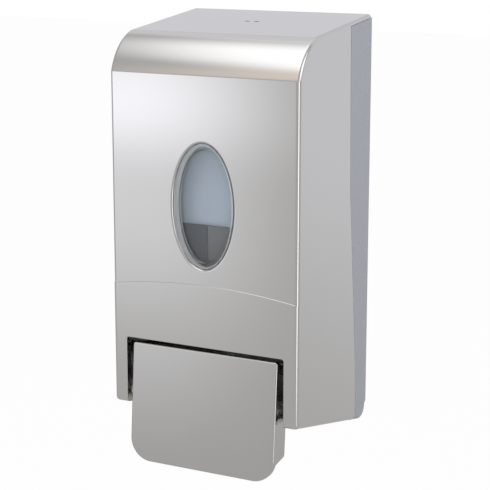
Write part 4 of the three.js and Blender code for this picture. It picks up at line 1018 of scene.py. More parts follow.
class PumpSizes(bpy.types.PropertyGroup):
    """The pump, its valves and its nozzle."""
    bore: length("Bore", "Radius of the pump's chamber", 8)
    wall: length("Wall", "Thickness of the barrel", 2)
    rear_wall: length("Rear wall", "Thickness of the barrel's closed end", 2.5)
    neck: length("Neck", "Radius of the pump's neck", 7)
    inlet: length("Inlet", "Radius of the inlet's bore", 4.3)
    outlet: length("Outlet", "Radius of the outlet's bore", 2.8)
    spigot: length("Spigot", "Radius of the outlet's spigot", 6.5)
    flange: length("Flange", "Thickness of the pump's flange", 2)
    cap_wall: length("Cap wall", "Thickness of the end cap's skirt", 1.7)
    cap_face: length("Cap face", "Thickness of the end cap's face", 2.5)
    grip_depth: length("Grip depth", "Depth of the grooves on the cap and the collar", 0.5)
    rod: length("Rod", "Radius of the plunger's rod", 4)
    tip: length("Tip", "Radius of the plunger's tip", 2.6)
    tip_length: length("Tip length", "Length of the plunger's tip", 4)
    piston_length: length("Piston length", "Length of the piston", 6)
    groove_width: length("Groove width", "Width of the seal's groove", 2.2)
    seal_ring: length("Seal ring", "Radius of the seal's section", 0.8)
    button: length("Button", "Radius of the plunger's button", 6)
    button_skirt: length("Button skirt", "Length of the button behind its dome", 3)
    nozzle_wall: length("Nozzle wall", "Thickness of the nozzle's sleeve", 2)
    nozzle_taper: length("Nozzle taper", "Length of the nozzle's cone", 14)
    nozzle_tip: length("Nozzle tip", "Radius of the nozzle's end", 4.2)
    nozzle_bore: length("Nozzle bore", "Radius of the nozzle's opening", 2.2)
    valve_flange: length("Valve flange", "Thickness of the valves' flanges", 1)
    valve_tip: length("Valve tip", "Radius of the valves' closed ends", 1.7)
    valve_wall: length("Valve wall", "Thickness of the valves", 0.8)
    valve_gap: length("Valve clearance", "Between a valve and its bore", 0.4)
    softness: length("Softness", "Rounding of the pump's edges", 0.35)


class TankSizes(bpy.types.PropertyGroup):
    """The tank with its lid, collar and gasket."""
    wall: length("Wall", "Thickness of the tank", 1.8)
    corner: length("Corner", "Radius of the tank's upright corners", 9)
    foot_radius: length("Foot radius", "Rounding round the tank's foot", 3)
    neck: length("Neck", "Radius of the tank's neck", 9.5)
    neck_wall: length("Neck wall", "Thickness of the neck", 3)
    lid: length("Lid", "Thickness of the lid", 2)
    lid_skirt_wall: length("Lid skirt", "Thickness of the lid's skirt", 1.5)
    lid_radius: length("Lid radius", "Rounding round the lid's top", 1.4)
    grip_length: length("Grip length", "Length of the lid's grip", 30)
    grip_width: length("Grip width", "Width of the lid's grip", 7)
    grip_height: length("Grip height", "Height of the lid's grip", 3.6)
    grip_roundness: share("Grip roundness", "Corner radius of the grip as a part of its half width", 0.66)
    collar_lip: length("Collar lip", "Thickness of the collar's lip", 2)
    carrier_wall: length("Carrier wall", "Thickness of the carrier's floor below the tank", 2)
    carrier_gap: length("Carrier gap", "Between the carrier's floor and the tank", 0.3)
    softness: length("Softness", "Rounding of small edges", 0.4)
    carrier_softness: length("Carrier softness", "Rounding of the carrier's edges", 0.35)
    pad_edge: length("Pad edge", "Right edge of the carrier's raised pad, from the middle", -2.2)
    pad_blend: length("Pad blend", "Half the width over which the pad's colour changes", 0.3)


class ScrewSizes(bpy.types.PropertyGroup):
    """Screws, pins and springs."""
    head_radius: length("Head radius", "Radius of the screws' heads", 3)
    head_height: length("Head height", "Height of the screws' heads", 1.8)
    shank_radius: length("Shank radius", "Radius of the screws' threads", 1.5)
    thread_depth: length("Thread depth", "Depth of the threads", 0.22)
    thread_pitch: length("Thread pitch", "Between two turns of a thread", 0.7)
    point: share("Point", "Radius of a screw's flat point as a part of its core's radius", 0.6)
    recess_width: length("Recess width", "Width of the cross recess", 0.8)
    recess_depth: length("Recess depth", "Depth of the cross recess", 0.95)
    recess_reach: length("Recess reach", "From the middle to the recess's ends", 1.86)
    short_length: length("Short length", "Length of the short screws", 4.4)
    pin_radius: length("Pin radius", "Radius of the hinge pins", 1.5)
    pin_softness: length("Pin softness", "Rounding of the hinge pins' ends", 0.3)
    pin_head: length("Pin head", "Radius of the hinge pins' heads", 2.8)
    pin_head_height: length("Pin head height", "Height of the hinge pins' heads", 1.5)
    plunger_wire: length("Plunger wire", "Radius of the plunger spring's wire", 0.45)
    latch_wire: length("Latch wire", "Radius of the latch spring's wire", 0.4)
    plunger_turns: bpy.props.IntProperty(
        name="Plunger turns", description="Open turns of the plunger's spring", default=5)
    latch_turns: bpy.props.IntProperty(
        name="Latch turns", description="Open turns of the latch's spring", default=4)


def ribbed(name, profile, axis, u, v, radius, depth, count):
    """A turned piece whose outer side has grooves for the fingers."""
    piece = turned(name, profile, axis, u, v, steps=count * 4)
    middle = place(axis, 0, u, v)
    half_groove = 0.15  # as a share of the way from groove to groove

    def in_groove(vertex):
        away_u, away_v = [vertex.co[i] - middle[i] for i in range(3) if "xyz"[i] != axis]
        turn = math.atan2(away_v, away_u) / FULL_TURN * count
        outside = abs(math.hypot(away_u, away_v) - radius) < 5 * FINE
        return outside and abs(turn - round(turn)) < half_groove
    pick(piece, "vertices", in_groove)
    factor = 1 - depth / radius
    bpy.ops.transform.resize(value=place(axis, 1, factor, factor), center_override=middle)
    leave()
    return piece


class DISPENSER_OT_pump(bpy.types.Operator):
    """Models the pump: barrel, end cap, plunger, seal and button"""
    bl_idname = "dispenser.pump"
    bl_label = "Pump"

    def execute(self, context):
        gap, pump = context.scene.dispenser_case.fit_gap, context.scene.dispenser_pump
        low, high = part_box("plunger")
        axis_z = middle_of("plunger").z
        hand_over(pump_body(pump, gap, axis_z, port_depth()), "pump_body", white_acetal)
        cap_low, cap_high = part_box("pump_end_cap")
        cap = end_cap(pump, gap, cap_low.y, cap_high.y, axis_z)
        hand_over(cap, "pump_end_cap", dark_abs)
        hand_over(plunger(pump, gap, low.y, high.y, axis_z), "plunger", white_acetal)
        ring = piston_radius(pump, gap) - pump.seal_ring + gap / 4
        section = arc(ring, middle_of("plunger_seal").y, pump.seal_ring, 0, FULL_TURN, steps=20)[:-1]
        hand_over(turned("seal", section, "y", 0, axis_z), "plunger_seal", black_rubber)
        button = push_button(pump, gap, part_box("plunger_button")[0].y, axis_z)
        hand_over(button, "plunger_button", dark_abs)
        return {"FINISHED"}


def piston_radius(pump, gap):
    """Radius of the piston, which slides freely in its chamber."""
    return pump.bore - 1.5 * gap


def pump_body(pump, gap, axis_z, port_y):
    """The barrel with its neck, flange and outlet spigot."""
    low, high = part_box("pump_body")
    outer, soft = pump.bore + pump.wall, pump.softness
    body = rod("pump", outer, "y", low.y, high.y, 0, axis_z, soft)
    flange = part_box("tank_gasket")[1].x
    join(body, rod("neck", pump.neck, "z", axis_z, high.z - pump.flange / 2, 0, port_y),
         rod("flange", flange, "z", high.z - pump.flange, high.z, 0, port_y, soft),
         rod("spigot", pump.spigot, "z", low.z, axis_z, 0, port_y, soft))
    seat = pump.valve_flange + 2 * gap
    cut(body, rod("chamber", pump.bore, "y", low.y - OVERRUN, high.y - pump.rear_wall, 0, axis_z),
        rod("inlet", pump.inlet, "z", axis_z, high.z + OVERRUN, 0, port_y),
        rod("valve_seat", pump.spigot - gap * 2 / 3, "z", high.z - seat, high.z + OVERRUN, 0, port_y),
        rod("outlet", pump.outlet, "z", low.z - OVERRUN, axis_z, 0, port_y))
    return close_mesh(body)


def end_cap(pump, gap, front, rear, axis_z):
    """The barrel's screwed cap, with finger grooves and a hole for the plunger's rod."""
    inner = pump.bore + pump.wall + gap
    outer, hole, soft = inner + pump.cap_wall, pump.rod + gap, pump.softness
    profile = rounded([
        (hole, front, soft), (outer, front, 2 * soft), (outer, rear, soft), (inner, rear, soft / 2),
        (inner, front + pump.cap_face), (hole, front + pump.cap_face, soft / 2)], steps=3)
    return close_mesh(ribbed("cap", profile, "y", 0, axis_z, outer, pump.grip_depth, count=24))


def plunger(pump, gap, tip_y, rear_y, axis_z):
    """The plunger's tip, rod and grooved piston."""
    piston_y = rear_y - pump.piston_length
    piston = piston_radius(pump, gap)
    groove = piston - 2 * pump.seal_ring - gap / 2
    groove_y = piston_y + (pump.piston_length - pump.groove_width) / 2
    shoulder = tip_y + pump.tip_length + gap
    groove_end = groove_y + pump.groove_width
    soft = pump.softness
    profile = soft_profile([
        (0, tip_y), (pump.tip, tip_y, soft), (pump.tip, shoulder), (pump.rod, shoulder, soft),
        (pump.rod, piston_y, soft), (piston, piston_y, soft), (piston, groove_y, soft / 2),
        (groove, groove_y), (groove, groove_end), (piston, groove_end, soft / 2),
        (piston, rear_y, soft), (0, rear_y)], steps=3)
    return turned("plunger", profile, "y", 0, axis_z)


def push_button(pump, gap, front_y, axis_z):
    """The domed button on the plunger's tip."""
    centre = front_y + pump.button
    rear = centre + pump.button_skirt
    hole, depth = pump.tip + gap, rear - pump.tip_length - gap
    dome = arc(0, centre, pump.button, -QUARTER, 0, steps=16)
    skirt = rounded([(pump.button, centre), (pump.button, rear, pump.softness), (hole, rear),
                     (hole, depth), (0, depth)], steps=3)
    return turned("button", dome + skirt[1:], "y", 0, axis_z)


class DISPENSER_OT_outlet(bpy.types.Operator):
    """Models the nozzle and the two duckbill valves"""
    bl_idname = "dispenser.outlet"
    bl_label = "Nozzle and Valves"

    def execute(self, context):
        gap, pump = context.scene.dispenser_case.fit_gap, context.scene.dispenser_pump
        low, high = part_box("nozzle")
        port_y = port_depth()
        inner, soft = pump.spigot + gap, pump.softness
        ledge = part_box("outlet_valve")[1].z - pump.valve_flange - gap
        throat = pump.inlet - pump.valve_gap + 2 * gap
        profile = rounded([
            (inner, high.z, soft), (inner + pump.nozzle_wall, high.z, soft),
            (inner + pump.nozzle_wall, low.z + pump.nozzle_taper, 3 * soft), (pump.nozzle_tip, low.z, soft),
            (pump.nozzle_bore, low.z, soft), (throat, ledge), (inner, ledge)], steps=4)
        hand_over(turned("nozzle", profile, "z", 0, port_y), "nozzle", dark_abs)
        for node in ("inlet_valve", "outlet_valve"):
            hand_over(duckbill(pump, node, port_y), node, black_rubber)
        return {"FINISHED"}


def duckbill(pump, node, port_y):
    """A soft valve: a flange with a hollow cone that ends in two flat lips."""
    low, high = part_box(node)
    root, wall = pump.inlet - pump.valve_gap, pump.valve_wall
    flange, soft = high.z - pump.valve_flange, pump.valve_wall / 4
    profile = rounded([
        (root - wall, high.z, soft), (high.x, high.z, soft), (high.x, flange, soft), (root, flange, soft),
        (pump.valve_tip, low.z, soft), (pump.valve_tip - wall, low.z)], steps=3)
    valve = turned("valve", profile, "z", 0, port_y, steps=SMALL_STEPS)
    pick(valve, "vertices", lambda vertex: vertex.co.z < low.z + 2 * soft)
    lip_width, lip_thickness = 1.3, 0.45  # as shares of the cone's width
    bpy.ops.transform.resize(value=(lip_width, lip_thickness, 1), center_override=(0, port_y, low.z))
    return close_mesh(valve)


class DISPENSER_OT_tank(bpy.types.Operator):
    """Models the soap tank with its lid, gasket and collar"""
    bl_idname = "dispenser.tank"
    bl_label = "Soap Tank"

    def execute(self, context):
        case, tank = context.scene.dispenser_case, context.scene.dispenser_tank
        pump, port_y = context.scene.dispenser_pump, port_depth()
        hand_over(tank_body(tank, port_y), "tank", milky_polyethylene)
        hand_over(tank_lid(case, tank), "tank_lid", white_acetal)
        low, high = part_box("tank_gasket")
        gasket = tube("gasket", tank.neck - tank.neck_wall, high.x, "z", low.z, high.z, 0, port_y,
                      tank.softness / 2)
        hand_over(gasket, "tank_gasket", black_rubber)
        hand_over(pump_collar(case, tank, pump, port_y), "pump_collar", dark_abs)
        return {"FINISHED"}


def tank_body(tank, port_y):
    """A hollow box with round corners, open at the top, with a neck below."""
    low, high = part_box("tank")
    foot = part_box("tank_carrier")[0].z + tank.carrier_wall + tank.carrier_gap
    half = (high.x, (high.y - low.y) / 2)
    middle = (0, (high.y + low.y) / 2)
    outline = plan(low, high, 0, tank.corner)
    r = tank.foot_radius
    levels = [(foot + r * (1 - math.cos(t)), -r * (1 - math.sin(t))) for t in quarter_turn(6)]
    first = levels[0][1]
    shrunk = [((u - middle[0]) * (half[0] + first) / half[0] + middle[0],
               (v - middle[1]) * (half[1] + first) / half[1] + middle[1]) for u, v in outline]
    rim = tank.wall / 4
    body = stack("tank", shrunk, "z", half, middle, [*levels, (high.z - rim, 0), (high.z, -rim)])
    join(body, rod("neck", tank.neck, "z", low.z, foot + tank.wall / 2, 0, port_y, tank.softness))
    inner = plan(low, high, tank.wall, tank.corner - tank.wall)
    cut(body, prism("inside", inner, "z", foot + tank.wall, high.z + OVERRUN),
        rod("outlet", tank.neck - tank.neck_wall, "z", low.z - OVERRUN, foot + OVERRUN, 0, port_y))
    return close_mesh(body)


def tank_lid(case, tank):
    """A lid with a skirt and a grip."""
    low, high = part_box("tank_lid")
    half = (high.x, (high.y - low.y) / 2)
    middle = (0, (high.y + low.y) / 2)
    top = high.z - tank.grip_height
    outline = plan(low, high, 0, tank.corner + tank.lid_skirt_wall)
    r = tank.lid_radius
    levels = [(low.z, 0), *[(top - r * (1 - math.sin(t)), -r * (1 - math.cos(t))) for t in quarter_turn(6)]]
    lid = stack("lid", outline, "z", half, middle, levels)
    inner = plan(low, high, tank.lid_skirt_wall, tank.corner)
    cut(lid, prism("inside", inner, "z", low.z - OVERRUN, top - tank.lid))
    long, wide = tank.grip_length / 2, tank.grip_width / 2
    radius = wide * tank.grip_roundness
    outline = rounded_rectangle((-long, long), (middle[1] - wide, middle[1] + wide),
                                radius, radius, steps=10)
    grip = prism("grip", outline, "z", top - tank.lid / 2, high.z)
    bevel_where(grip, lambda a, b: min(a.z, b.z) > high.z - FINE, 2 * tank.softness, segments=4)
    return close_mesh(join(lid, grip))


def pump_collar(case, tank, pump, port_y):
    """The collar that draws the pump against the tank's neck, with finger grooves."""
    low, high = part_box("pump_collar")
    inner, lip, ledge = tank.neck + case.fit_gap, pump.neck + case.fit_gap, low.z + tank.collar_lip
    soft, outer_soft = tank.softness, 2.5 * tank.softness
    profile = rounded([
        (lip, low.z, soft), (high.x, low.z, outer_soft), (high.x, high.z, outer_soft),
        (inner, high.z, soft), (inner, ledge), (lip, ledge, soft)], steps=4)
    return close_mesh(ribbed("collar", profile, "z", 0, port_y, high.x, pump.grip_depth, count=28))


class DISPENSER_OT_carrier(bpy.types.Operator):
    """Refines the dark carrier that holds the tank"""
    bl_idname = "dispenser.carrier"
    bl_label = "Tank Carrier"

    def execute(self, context):
        piece = refined_copy("tank_carrier", context.scene.dispenser_tank.carrier_softness)
        hand_over(piece, "tank_carrier", carrier_abs)
        return {"FINISHED"}


class DISPENSER_OT_lock(bpy.types.Operator):
    """Refines the lock under the roof: housing, latch and spring seat"""
    bl_idname = "dispenser.lock"
    bl_label = "Roof Lock"

    def execute(self, context):
        softness = context.scene.dispenser_case.inner_softness
        for node, finish in (("latch_housing", dark_abs), ("lock_latch", white_acetal),
                             ("latch_spring_seat", dark_abs)):
            hand_over(refined_copy(node, softness), node, finish)
        return {"FINISHED"}


class DISPENSER_OT_screws(bpy.types.Operator):
    """Models one screw of each length and copies it to its places"""
    bl_idname = "dispenser.screws"
    bl_label = "Screws"

    def execute(self, context):
        screws, lever = context.scene.dispenser_screws, context.scene.dispenser_lever
        case = context.scene.dispenser_case
        lever_length = (lever.face_wall + case.fit_gap + lever.frame_web - lever.screw_skin
                        + screws.head_height)
        for group, to_rear, angle in (("retainer_screw", True, 0), ("lever_screw", True, lever.lean),
                                      ("carrier_screw", False, 0), ("latch_screw", False, 0)):
            nodes = members(group)
            low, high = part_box(nodes[0])
            whole = lever_length if angle else high.y - low.y
            for node, piece in zip(nodes, screw_copies(screws, nodes, whole, to_rear, angle)):
                hand_over(piece, node, bright_steel)
        return {"FINISHED"}


def screw_copies(screws, nodes, whole, to_rear, angle):
    """Models a screw at the first node's place and copies it to the others."""
    middle = middle_of(nodes[0])
    first = screw(screws, whole, middle, to_rear)
    if angle:
        lean(first, angle, tuple(middle))
    copies = [first]
    for node in nodes[1:]:
        take(first)
        bpy.ops.object.duplicate()
        copies.append(bpy.context.object)
        move(copies[-1], middle_of(node) - middle)
    return copies


def screw(screws, whole, middle, to_rear):
    """A pan head with a cross recess on a threaded shank, along y."""
    turn = 1 if to_rear else -1
    tip = middle.y - turn * whole / 2
    seat = tip + turn * (whole - screws.head_height)
    head = seat + turn * screws.head_height
    radius, crown = screws.shank_radius, screws.head_height / 2
    core = radius - screws.thread_depth
    profile = [(0, tip), (core * screws.point, tip), (core, tip + turn * screws.thread_pitch)]
    along = 1.5 * screws.thread_pitch
    while along < whole - screws.head_height - screws.thread_pitch / 2:
        profile += [(radius, tip + turn * along), (core, tip + turn * (along + screws.thread_pitch / 2))]
        along += screws.thread_pitch
    profile += [(core, seat), (screws.head_radius, seat)]
    bulge = arc(screws.head_radius - crown, screws.head_height - crown, crown, 0, QUARTER, steps=6)
    profile += [(u, seat + turn * v) for u, v in bulge]
    profile.append((0, head))
    piece = turned("screw", profile, "y", middle.x, middle.z, steps=SMALL_STEPS)
    half, reach = screws.recess_width / 2, screws.recess_reach
    floor, above = head - turn * screws.recess_depth, head + turn * OVERRUN
    front, rear = sorted((floor, above))
    x, z = middle.x, middle.z
    return close_mesh(cut(piece, block("recess", (x - reach, front, z - half), (x + reach, rear, z + half)),
                          block("recess", (x - half, front, z - reach), (x + half, rear, z + reach))))


class DISPENSER_OT_hinge_pins(bpy.types.Operator):
    """Models the two headed hinge pins"""
    bl_idname = "dispenser.hinge_pins"
    bl_label = "Hinge Pins"

    def execute(self, context):
        case, screws = context.scene.dispenser_case, context.scene.dispenser_screws
        for side, turn in (("left", -1), ("right", 1)):
            low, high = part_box(f"hinge_pin_{side}")
            outer, inner = (high.x, low.x) if turn > 0 else (low.x, high.x)
            shoulder, soft = inner + turn * screws.pin_head_height, screws.pin_softness
            profile = soft_profile([
                (0, inner), (screws.pin_head, inner, soft), (screws.pin_head, shoulder, soft / 2),
                (screws.pin_radius, shoulder), (screws.pin_radius, outer, soft), (0, outer)], steps=3)
            pin = turned("pin", profile, "x", *hinge_place(case), steps=SMALL_STEPS)
            hand_over(pin, f"hinge_pin_{side}", bright_steel)
        return {"FINISHED"}


class DISPENSER_OT_springs(bpy.types.Operator):
    """Winds the plunger's spring and the latch's spring, with closed end turns"""
    bl_idname = "dispenser.springs"
    bl_label = "Springs"

    def execute(self, context):
        screws = context.scene.dispenser_screws
        for node, axis, wire, turns, joint in (
                ("plunger_spring", "y", screws.plunger_wire, screws.plunger_turns, "plunger_slide"),
                ("latch_spring", "z", screws.latch_wire, screws.latch_turns, "latch_slide")):
            low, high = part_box(node)
            spring = coil(axis, low, high, wire, turns)
            hand_over(spring, node, bright_steel, shaded=False)
            squash_spring(spring, node, joint, axis)
        return {"FINISHED"}


def coil(axis, low, high, wire, turns, steps=28):
    """Draws a spring's centre line with its closed end turns, and gives it a round section."""
    index = "xyz".index(axis)
    middle = (low + high) / 2
    u, v = [middle[i] for i in range(3) if i != index]
    radius = (high.x - low.x) / 2 - wire
    start, end = low[index] + wire, high[index] - wire
    closed = 2.2 * wire  # a closed turn rises just over the wire's thickness
    total = turns + 2
    points = []
    for i in range(total * steps + 1):
        turn = i / steps
        if turn < 1:
            along = start + closed * turn
        elif turn > total - 1:
            along = end - closed * (total - turn)
        else:
            along = start + closed + (end - start - 2 * closed) * (turn - 1) / turns
        points.append(place(axis, along, u + radius * math.cos(FULL_TURN * turn),
                            v + radius * math.sin(FULL_TURN * turn)))
    draw("spring", points)
    leave()
    bpy.ops.object.convert(target="CURVE")
    piece = bpy.context.object
    piece.data.bevel_depth = wire
    piece.data.bevel_resolution = 3
    piece.data.use_fill_caps = True
    bpy.ops.object.convert(target="MESH")
    piece = close_mesh(bpy.context.object)
    take(piece)
    bpy.ops.object.shade_smooth_by_angle(angle=math.radians(40))
    return piece


def squash_spring(spring, node, name, axis):
    """Finds where the spring's fixed end lies along its joint and gives the spring a mesh of its own."""
    joint = next(j for j in frame["joints"] if j["name"] == name)
    fixed = next(d for d in joint["deforming_nodes"] if d["node"] == node)[f"fixed_end_{axis}_m"]
    low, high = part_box(node)
    index = "xyz".index(axis)
    anchor = list((low + high) / 2)
    anchor[index] = fixed
    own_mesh(spring)


class FinishColours(bpy.types.PropertyGroup):
    """The colours of the pieces."""
    satin: colour("Satin chrome", "The plated cover", "D6D4D1")
    # The lever's colour is painted shade: the cover's chrome made darker for the darker surroundings that
    # the leaning lever mirrors
    lever: colour("Lever chrome", "The plated lever", "CFCDCA")
    grained: colour("Grained plate", "The wall plate's silver grey plastic", "B4B6BC")
    tank: colour("Tank", "The milky tank", "CAD4E2")
    carrier: colour("Carrier", "The right part of the tank's carrier", "6E6E6C")
    carrier_pad: colour("Carrier pad", "The raised left part of the tank's carrier", "34393D")
    dark: colour("Dark plastic", "The pump's cap, collar and nozzle", "3B3E42")
    black: colour("Black plastic", "The window's ring and the bushes", "1D1F22")
    white: colour("White plastic", "The plunger, the pump and the lid", "E6E6E1")
    steel: colour("Steel", "Screws, pins, clips and springs", "C2C5C9")
    rubber: colour("Rubber", "The seals and valves", "242426")
    clear: colour("Clear window", "The acrylic of the sight window", "F4F8FA")


def add_node(tree, kind, inputs=None, **settings):
    """Adds a node with its settings, values and links."""
    node = tree.nodes.new(kind)
    for name, value in settings.items():
        setattr(node, name, value)
    for name, value in (inputs or {}).items():
        if isinstance(value, bpy.types.NodeSocket):
            tree.links.new(value, node.inputs[name])
        else:
            node.inputs[name].default_value = value
    return node


def surface(name, base, patch, shift, wear, roughness, lump, depth, strength=0.6, values=None):
    """
    A material that varies as a real surface does. Its colour drifts by a share (shift) in patches, its
    roughness between two values from worn spot to worn spot, and lumps rise by a depth. The sizes of the
    patches, spots and lumps and the depth are in millimetres.
    """
    material = bpy.data.materials.new(f"{name}_finish")
    material.use_nodes = True
    tree = material.node_tree
    tree.nodes.clear()
    where = add_node(tree, "ShaderNodeTexCoord", name="place").outputs["Object"]
    patches, spots, lumps = [
        add_node(tree, "ShaderNodeTexNoise", {"Vector": where, "Scale": 1 / (size * MM), "Detail": 3})
        for size in (patch, wear, lump)]
    dark, light = [[max(0, min(1, value * (1 + sign * shift))) for value in base] for sign in (-1, 1)]
    tone = add_node(tree, "ShaderNodeMix", {
        "Factor": patches.outputs["Fac"], "A": (*dark, 1), "B": (*light, 1)}, data_type="RGBA", name="tone")
    worn = add_node(tree, "ShaderNodeMapRange", {"Value": spots.outputs["Fac"], "To Min": roughness[0],
                                                 "To Max": roughness[1]}, name="wear")
    raised = add_node(tree, "ShaderNodeBump", {"Height": lumps.outputs["Fac"], "Distance": depth * MM,
                                               "Strength": strength})
    shader = add_node(tree, "ShaderNodeBsdfPrincipled", {
        "Base Color": tone.outputs["Result"], "Roughness": worn.outputs["Result"],
        "Normal": raised.outputs["Normal"], **(values or {})}, name="shader")
    add_node(tree, "ShaderNodeOutputMaterial", {"Surface": shader.outputs["BSDF"]}, name="output")
    return material


def made_once(slot):
    """Marks the maker of a material: the slot comes with it, and it is made when it is first asked for."""
    def mark(make):
        def made():
            return slot, bpy.data.materials.get(f"{make.__name__}_finish") or make(bpy.context.scene)
        return made
    return mark


@made_once("satin_chrome")
def satin_chrome(scene):
    # Satin chrome plating on moulded ABS: a soft, slightly hazy mirror, faintly wavy from the moulding
    return surface("satin_chrome", scene.dispenser_colours.satin, patch=60, shift=0.015, wear=45,
                   roughness=(0.13, 0.16), lump=0.5, depth=0.004, values={"Metallic": 1})


@made_once("lever_chrome")
def lever_chrome(scene):
    # The same plating on the lever, a little rougher; its colour is the cover's painted darker, as painted
    # shade for the darker surroundings that the leaning face mirrors
    return surface("lever_chrome", scene.dispenser_colours.lever, patch=30, shift=0.02, wear=25,
                   roughness=(0.15, 0.18), lump=0.5, depth=0.005, values={"Metallic": 1})


@made_once("bright_steel")
def bright_steel(scene):
    # Zinc plated steel: bright, with a faintly mottled plating
    return surface("bright_steel", scene.dispenser_colours.steel, patch=2, shift=0.05, wear=1.5,
                   roughness=(0.2, 0.32), lump=0.3, depth=0.004, strength=0.5, values={"Metallic": 1})


@made_once("grained_abs")
def grained_abs(scene):
    # Silver grey ABS, partly metallic from its flakes, with a spark-eroded grain that breaks the light
    return surface("grained_abs", scene.dispenser_colours.grained, patch=0.9, shift=0.16, wear=20,
                   roughness=(0.46, 0.55), lump=0.8, depth=0.05, strength=0.7, values={"Metallic": 0.35})


@made_once("dark_plastic")
def dark_abs(scene):
    # Moulded dark grey ABS with a fine erosion grain
    return surface("dark_abs", scene.dispenser_colours.dark, patch=12, shift=0.05, wear=6,
                   roughness=(0.46, 0.55), lump=0.5, depth=0.012)


@made_once("black_plastic")
def black_nylon(scene):
    # Moulded black nylon, slightly waxy
    return surface("black_nylon", scene.dispenser_colours.black, patch=12, shift=0.05, wear=6,
                   roughness=(0.41, 0.5), lump=0.5, depth=0.01)


@made_once("white_plastic")
def white_acetal(scene):
    # Moulded white acetal, smooth and slightly glossy
    return surface("white_acetal", scene.dispenser_colours.white, patch=12, shift=0.05, wear=6,
                   roughness=(0.28, 0.37), lump=1.5, depth=0.01)


@made_once("black_rubber")
def black_rubber(scene):
    # Moulded rubber, dull with a fine tooth
    return surface("black_rubber", scene.dispenser_colours.rubber, patch=12, shift=0.05, wear=6,
                   roughness=(0.71, 0.8), lump=0.4, depth=0.02)


@made_once("tank_plastic")
def milky_polyethylene(scene):
    # Blown polyethylene: waxy and faintly see-through, with a soft unevenness
    return surface("milky_polyethylene", scene.dispenser_colours.tank, patch=18, shift=0.03, wear=10,
                   roughness=(0.34, 0.42), lump=6, depth=0.05, strength=0.4,
                   values={"IOR": 1.51, "Subsurface Weight": 0.25, "Subsurface Scale": 2 * MM})


@made_once("dark_plastic")
def carrier_abs(scene):
    # Dark grey moulded ABS, coloured darker and bluer on the raised pad at the left
    colours, tank = scene.dispenser_colours, scene.dispenser_tank
    material = surface("carrier_abs", colours.carrier, patch=12, shift=0, wear=8,
                       roughness=(0.5, 0.6), lump=0.6, depth=0.02, strength=0.5)
    tree = material.node_tree
    tone, where = tree.nodes["tone"], tree.nodes["place"].outputs["Object"]
    across = add_node(tree, "ShaderNodeSeparateXYZ", {"Vector": where})
    side = add_node(tree, "ShaderNodeMapRange", {
        "Value": across.outputs["X"], "From Min": tank.pad_edge - tank.pad_blend,
        "From Max": tank.pad_edge + tank.pad_blend})
    tree.links.new(side.outputs["Result"], tone.inputs["Factor"])
    tone.inputs["A"].default_value = (*colours.carrier_pad, 1)
    return material


@made_once("clear_window")
def clear_acrylic(scene):
    # Clear moulded acrylic with a frosted band: shadow rays pass it, so that the tank behind it is lit
    base = scene.dispenser_colours.clear
    material = surface("clear_acrylic", base, patch=12, shift=0, wear=15, roughness=(0.03, 0.3),
                       lump=12, depth=0.02, strength=0.5, values={"IOR": 1.49})
    tree = material.node_tree
    shader, output = tree.nodes["shader"], tree.nodes["output"]
    frosted = lens_band(scene, tree)
    clearness = add_node(tree, "ShaderNodeMapRange", {
        "Value": frosted, "To Min": 1, "To Max": scene.dispenser_front.frost_clearness})
    tree.links.new(frosted, tree.nodes["wear"].inputs["Value"])
    tree.links.new(clearness.outputs["Result"], shader.inputs["Transmission Weight"])
    passing = add_node(tree, "ShaderNodeBsdfTransparent", {"Color": (*base, 1)})
    rays = add_node(tree, "ShaderNodeLightPath")
    both = add_node(tree, "ShaderNodeMixShader", {
        0: rays.outputs["Is Shadow Ray"], 1: shader.outputs["BSDF"], 2: passing.outputs["BSDF"]})
    tree.links.new(both.outputs["Shader"], output.inputs["Surface"])
    return material


def lens_band(scene, tree):
    """One on the lens's frosted band, which is wider on its left side, and zero on its clear pane."""
    case, front = scene.dispenser_case, scene.dispenser_front
    pane = (front.window_half_width - front.frost_side, front.window_half_height - front.frost_top)
    middle = (front.frost_shift, 0, window_height(case, front))
    where = tree.nodes["place"].outputs["Object"]
    moved = add_node(tree, "ShaderNodeVectorMath", {0: where, 1: middle}, operation="SUBTRACT")
    reach = add_node(tree, "ShaderNodeVectorMath", {0: moved.outputs[0], 1: (1 / pane[0], 0, 1 / pane[1])},
                     operation="MULTIPLY")
    reach = add_node(tree, "ShaderNodeVectorMath", {0: reach.outputs[0]}, operation="LENGTH")
    rim_start, rim_end = 0.985, 1.005  # shares of the pane's half sizes
    band = add_node(tree, "ShaderNodeMapRange", {
        "Value": reach.outputs["Value"], "From Min": rim_start, "From Max": rim_end})
    return band.outputs["Result"]


class StageSettings(bpy.types.PropertyGroup):
    """The studio: the camera, the floor and the lamps."""
    camera_place: bpy.props.FloatVectorProperty(
        name="Camera place", description="Where the camera stands", default=(0.41081, -0.85547, 0.19451),
        size=3, subtype="TRANSLATION", unit="LENGTH")
    camera_turn: bpy.props.FloatVectorProperty(
        name="Camera turn", description="Where the camera looks",
        default=[math.radians(degrees) for degrees in (78.112, 0, 27.008)], size=3, subtype="EULER")
    focal_length: bpy.props.FloatProperty(
        name="Focal length", description="Focal length in millimetres", default=109.19, unit="CAMERA")
    camera_shift: bpy.props.FloatProperty(
        name="Camera shift", description="How far the frame is shifted down", default=-0.05)
    nearest: length("Nearest", "How near to the camera the view starts", 10)
    floor_drop: length("Floor drop", "From the middle of the case down to the floor", 400)
    floor_size: length("Floor size", "Length of the square floor's side", 12000)
    floor_pale: share("Floor paleness", "How much light the floor sends back", 0.8)
    floor_glow: share("Floor glow", "Part of the floor's white that doesn't depend on the lamps", 0.97)
    ambient: bpy.props.FloatProperty(
        name="Ambient", description="Brightness all round the room", default=0.53)
    lamp_watts: bpy.props.FloatProperty(
        name="Lamp", description="Strength of the lamp overhead", default=1, unit="POWER")
    lamp_size: length("Lamp size", "Length of the square lamp's side", 800)
    lamp_place: bpy.props.FloatVectorProperty(
        name="Lamp place", description="Where the lamp hangs", default=(0, -0.2, 0.9),
        size=3, subtype="TRANSLATION", unit="LENGTH")


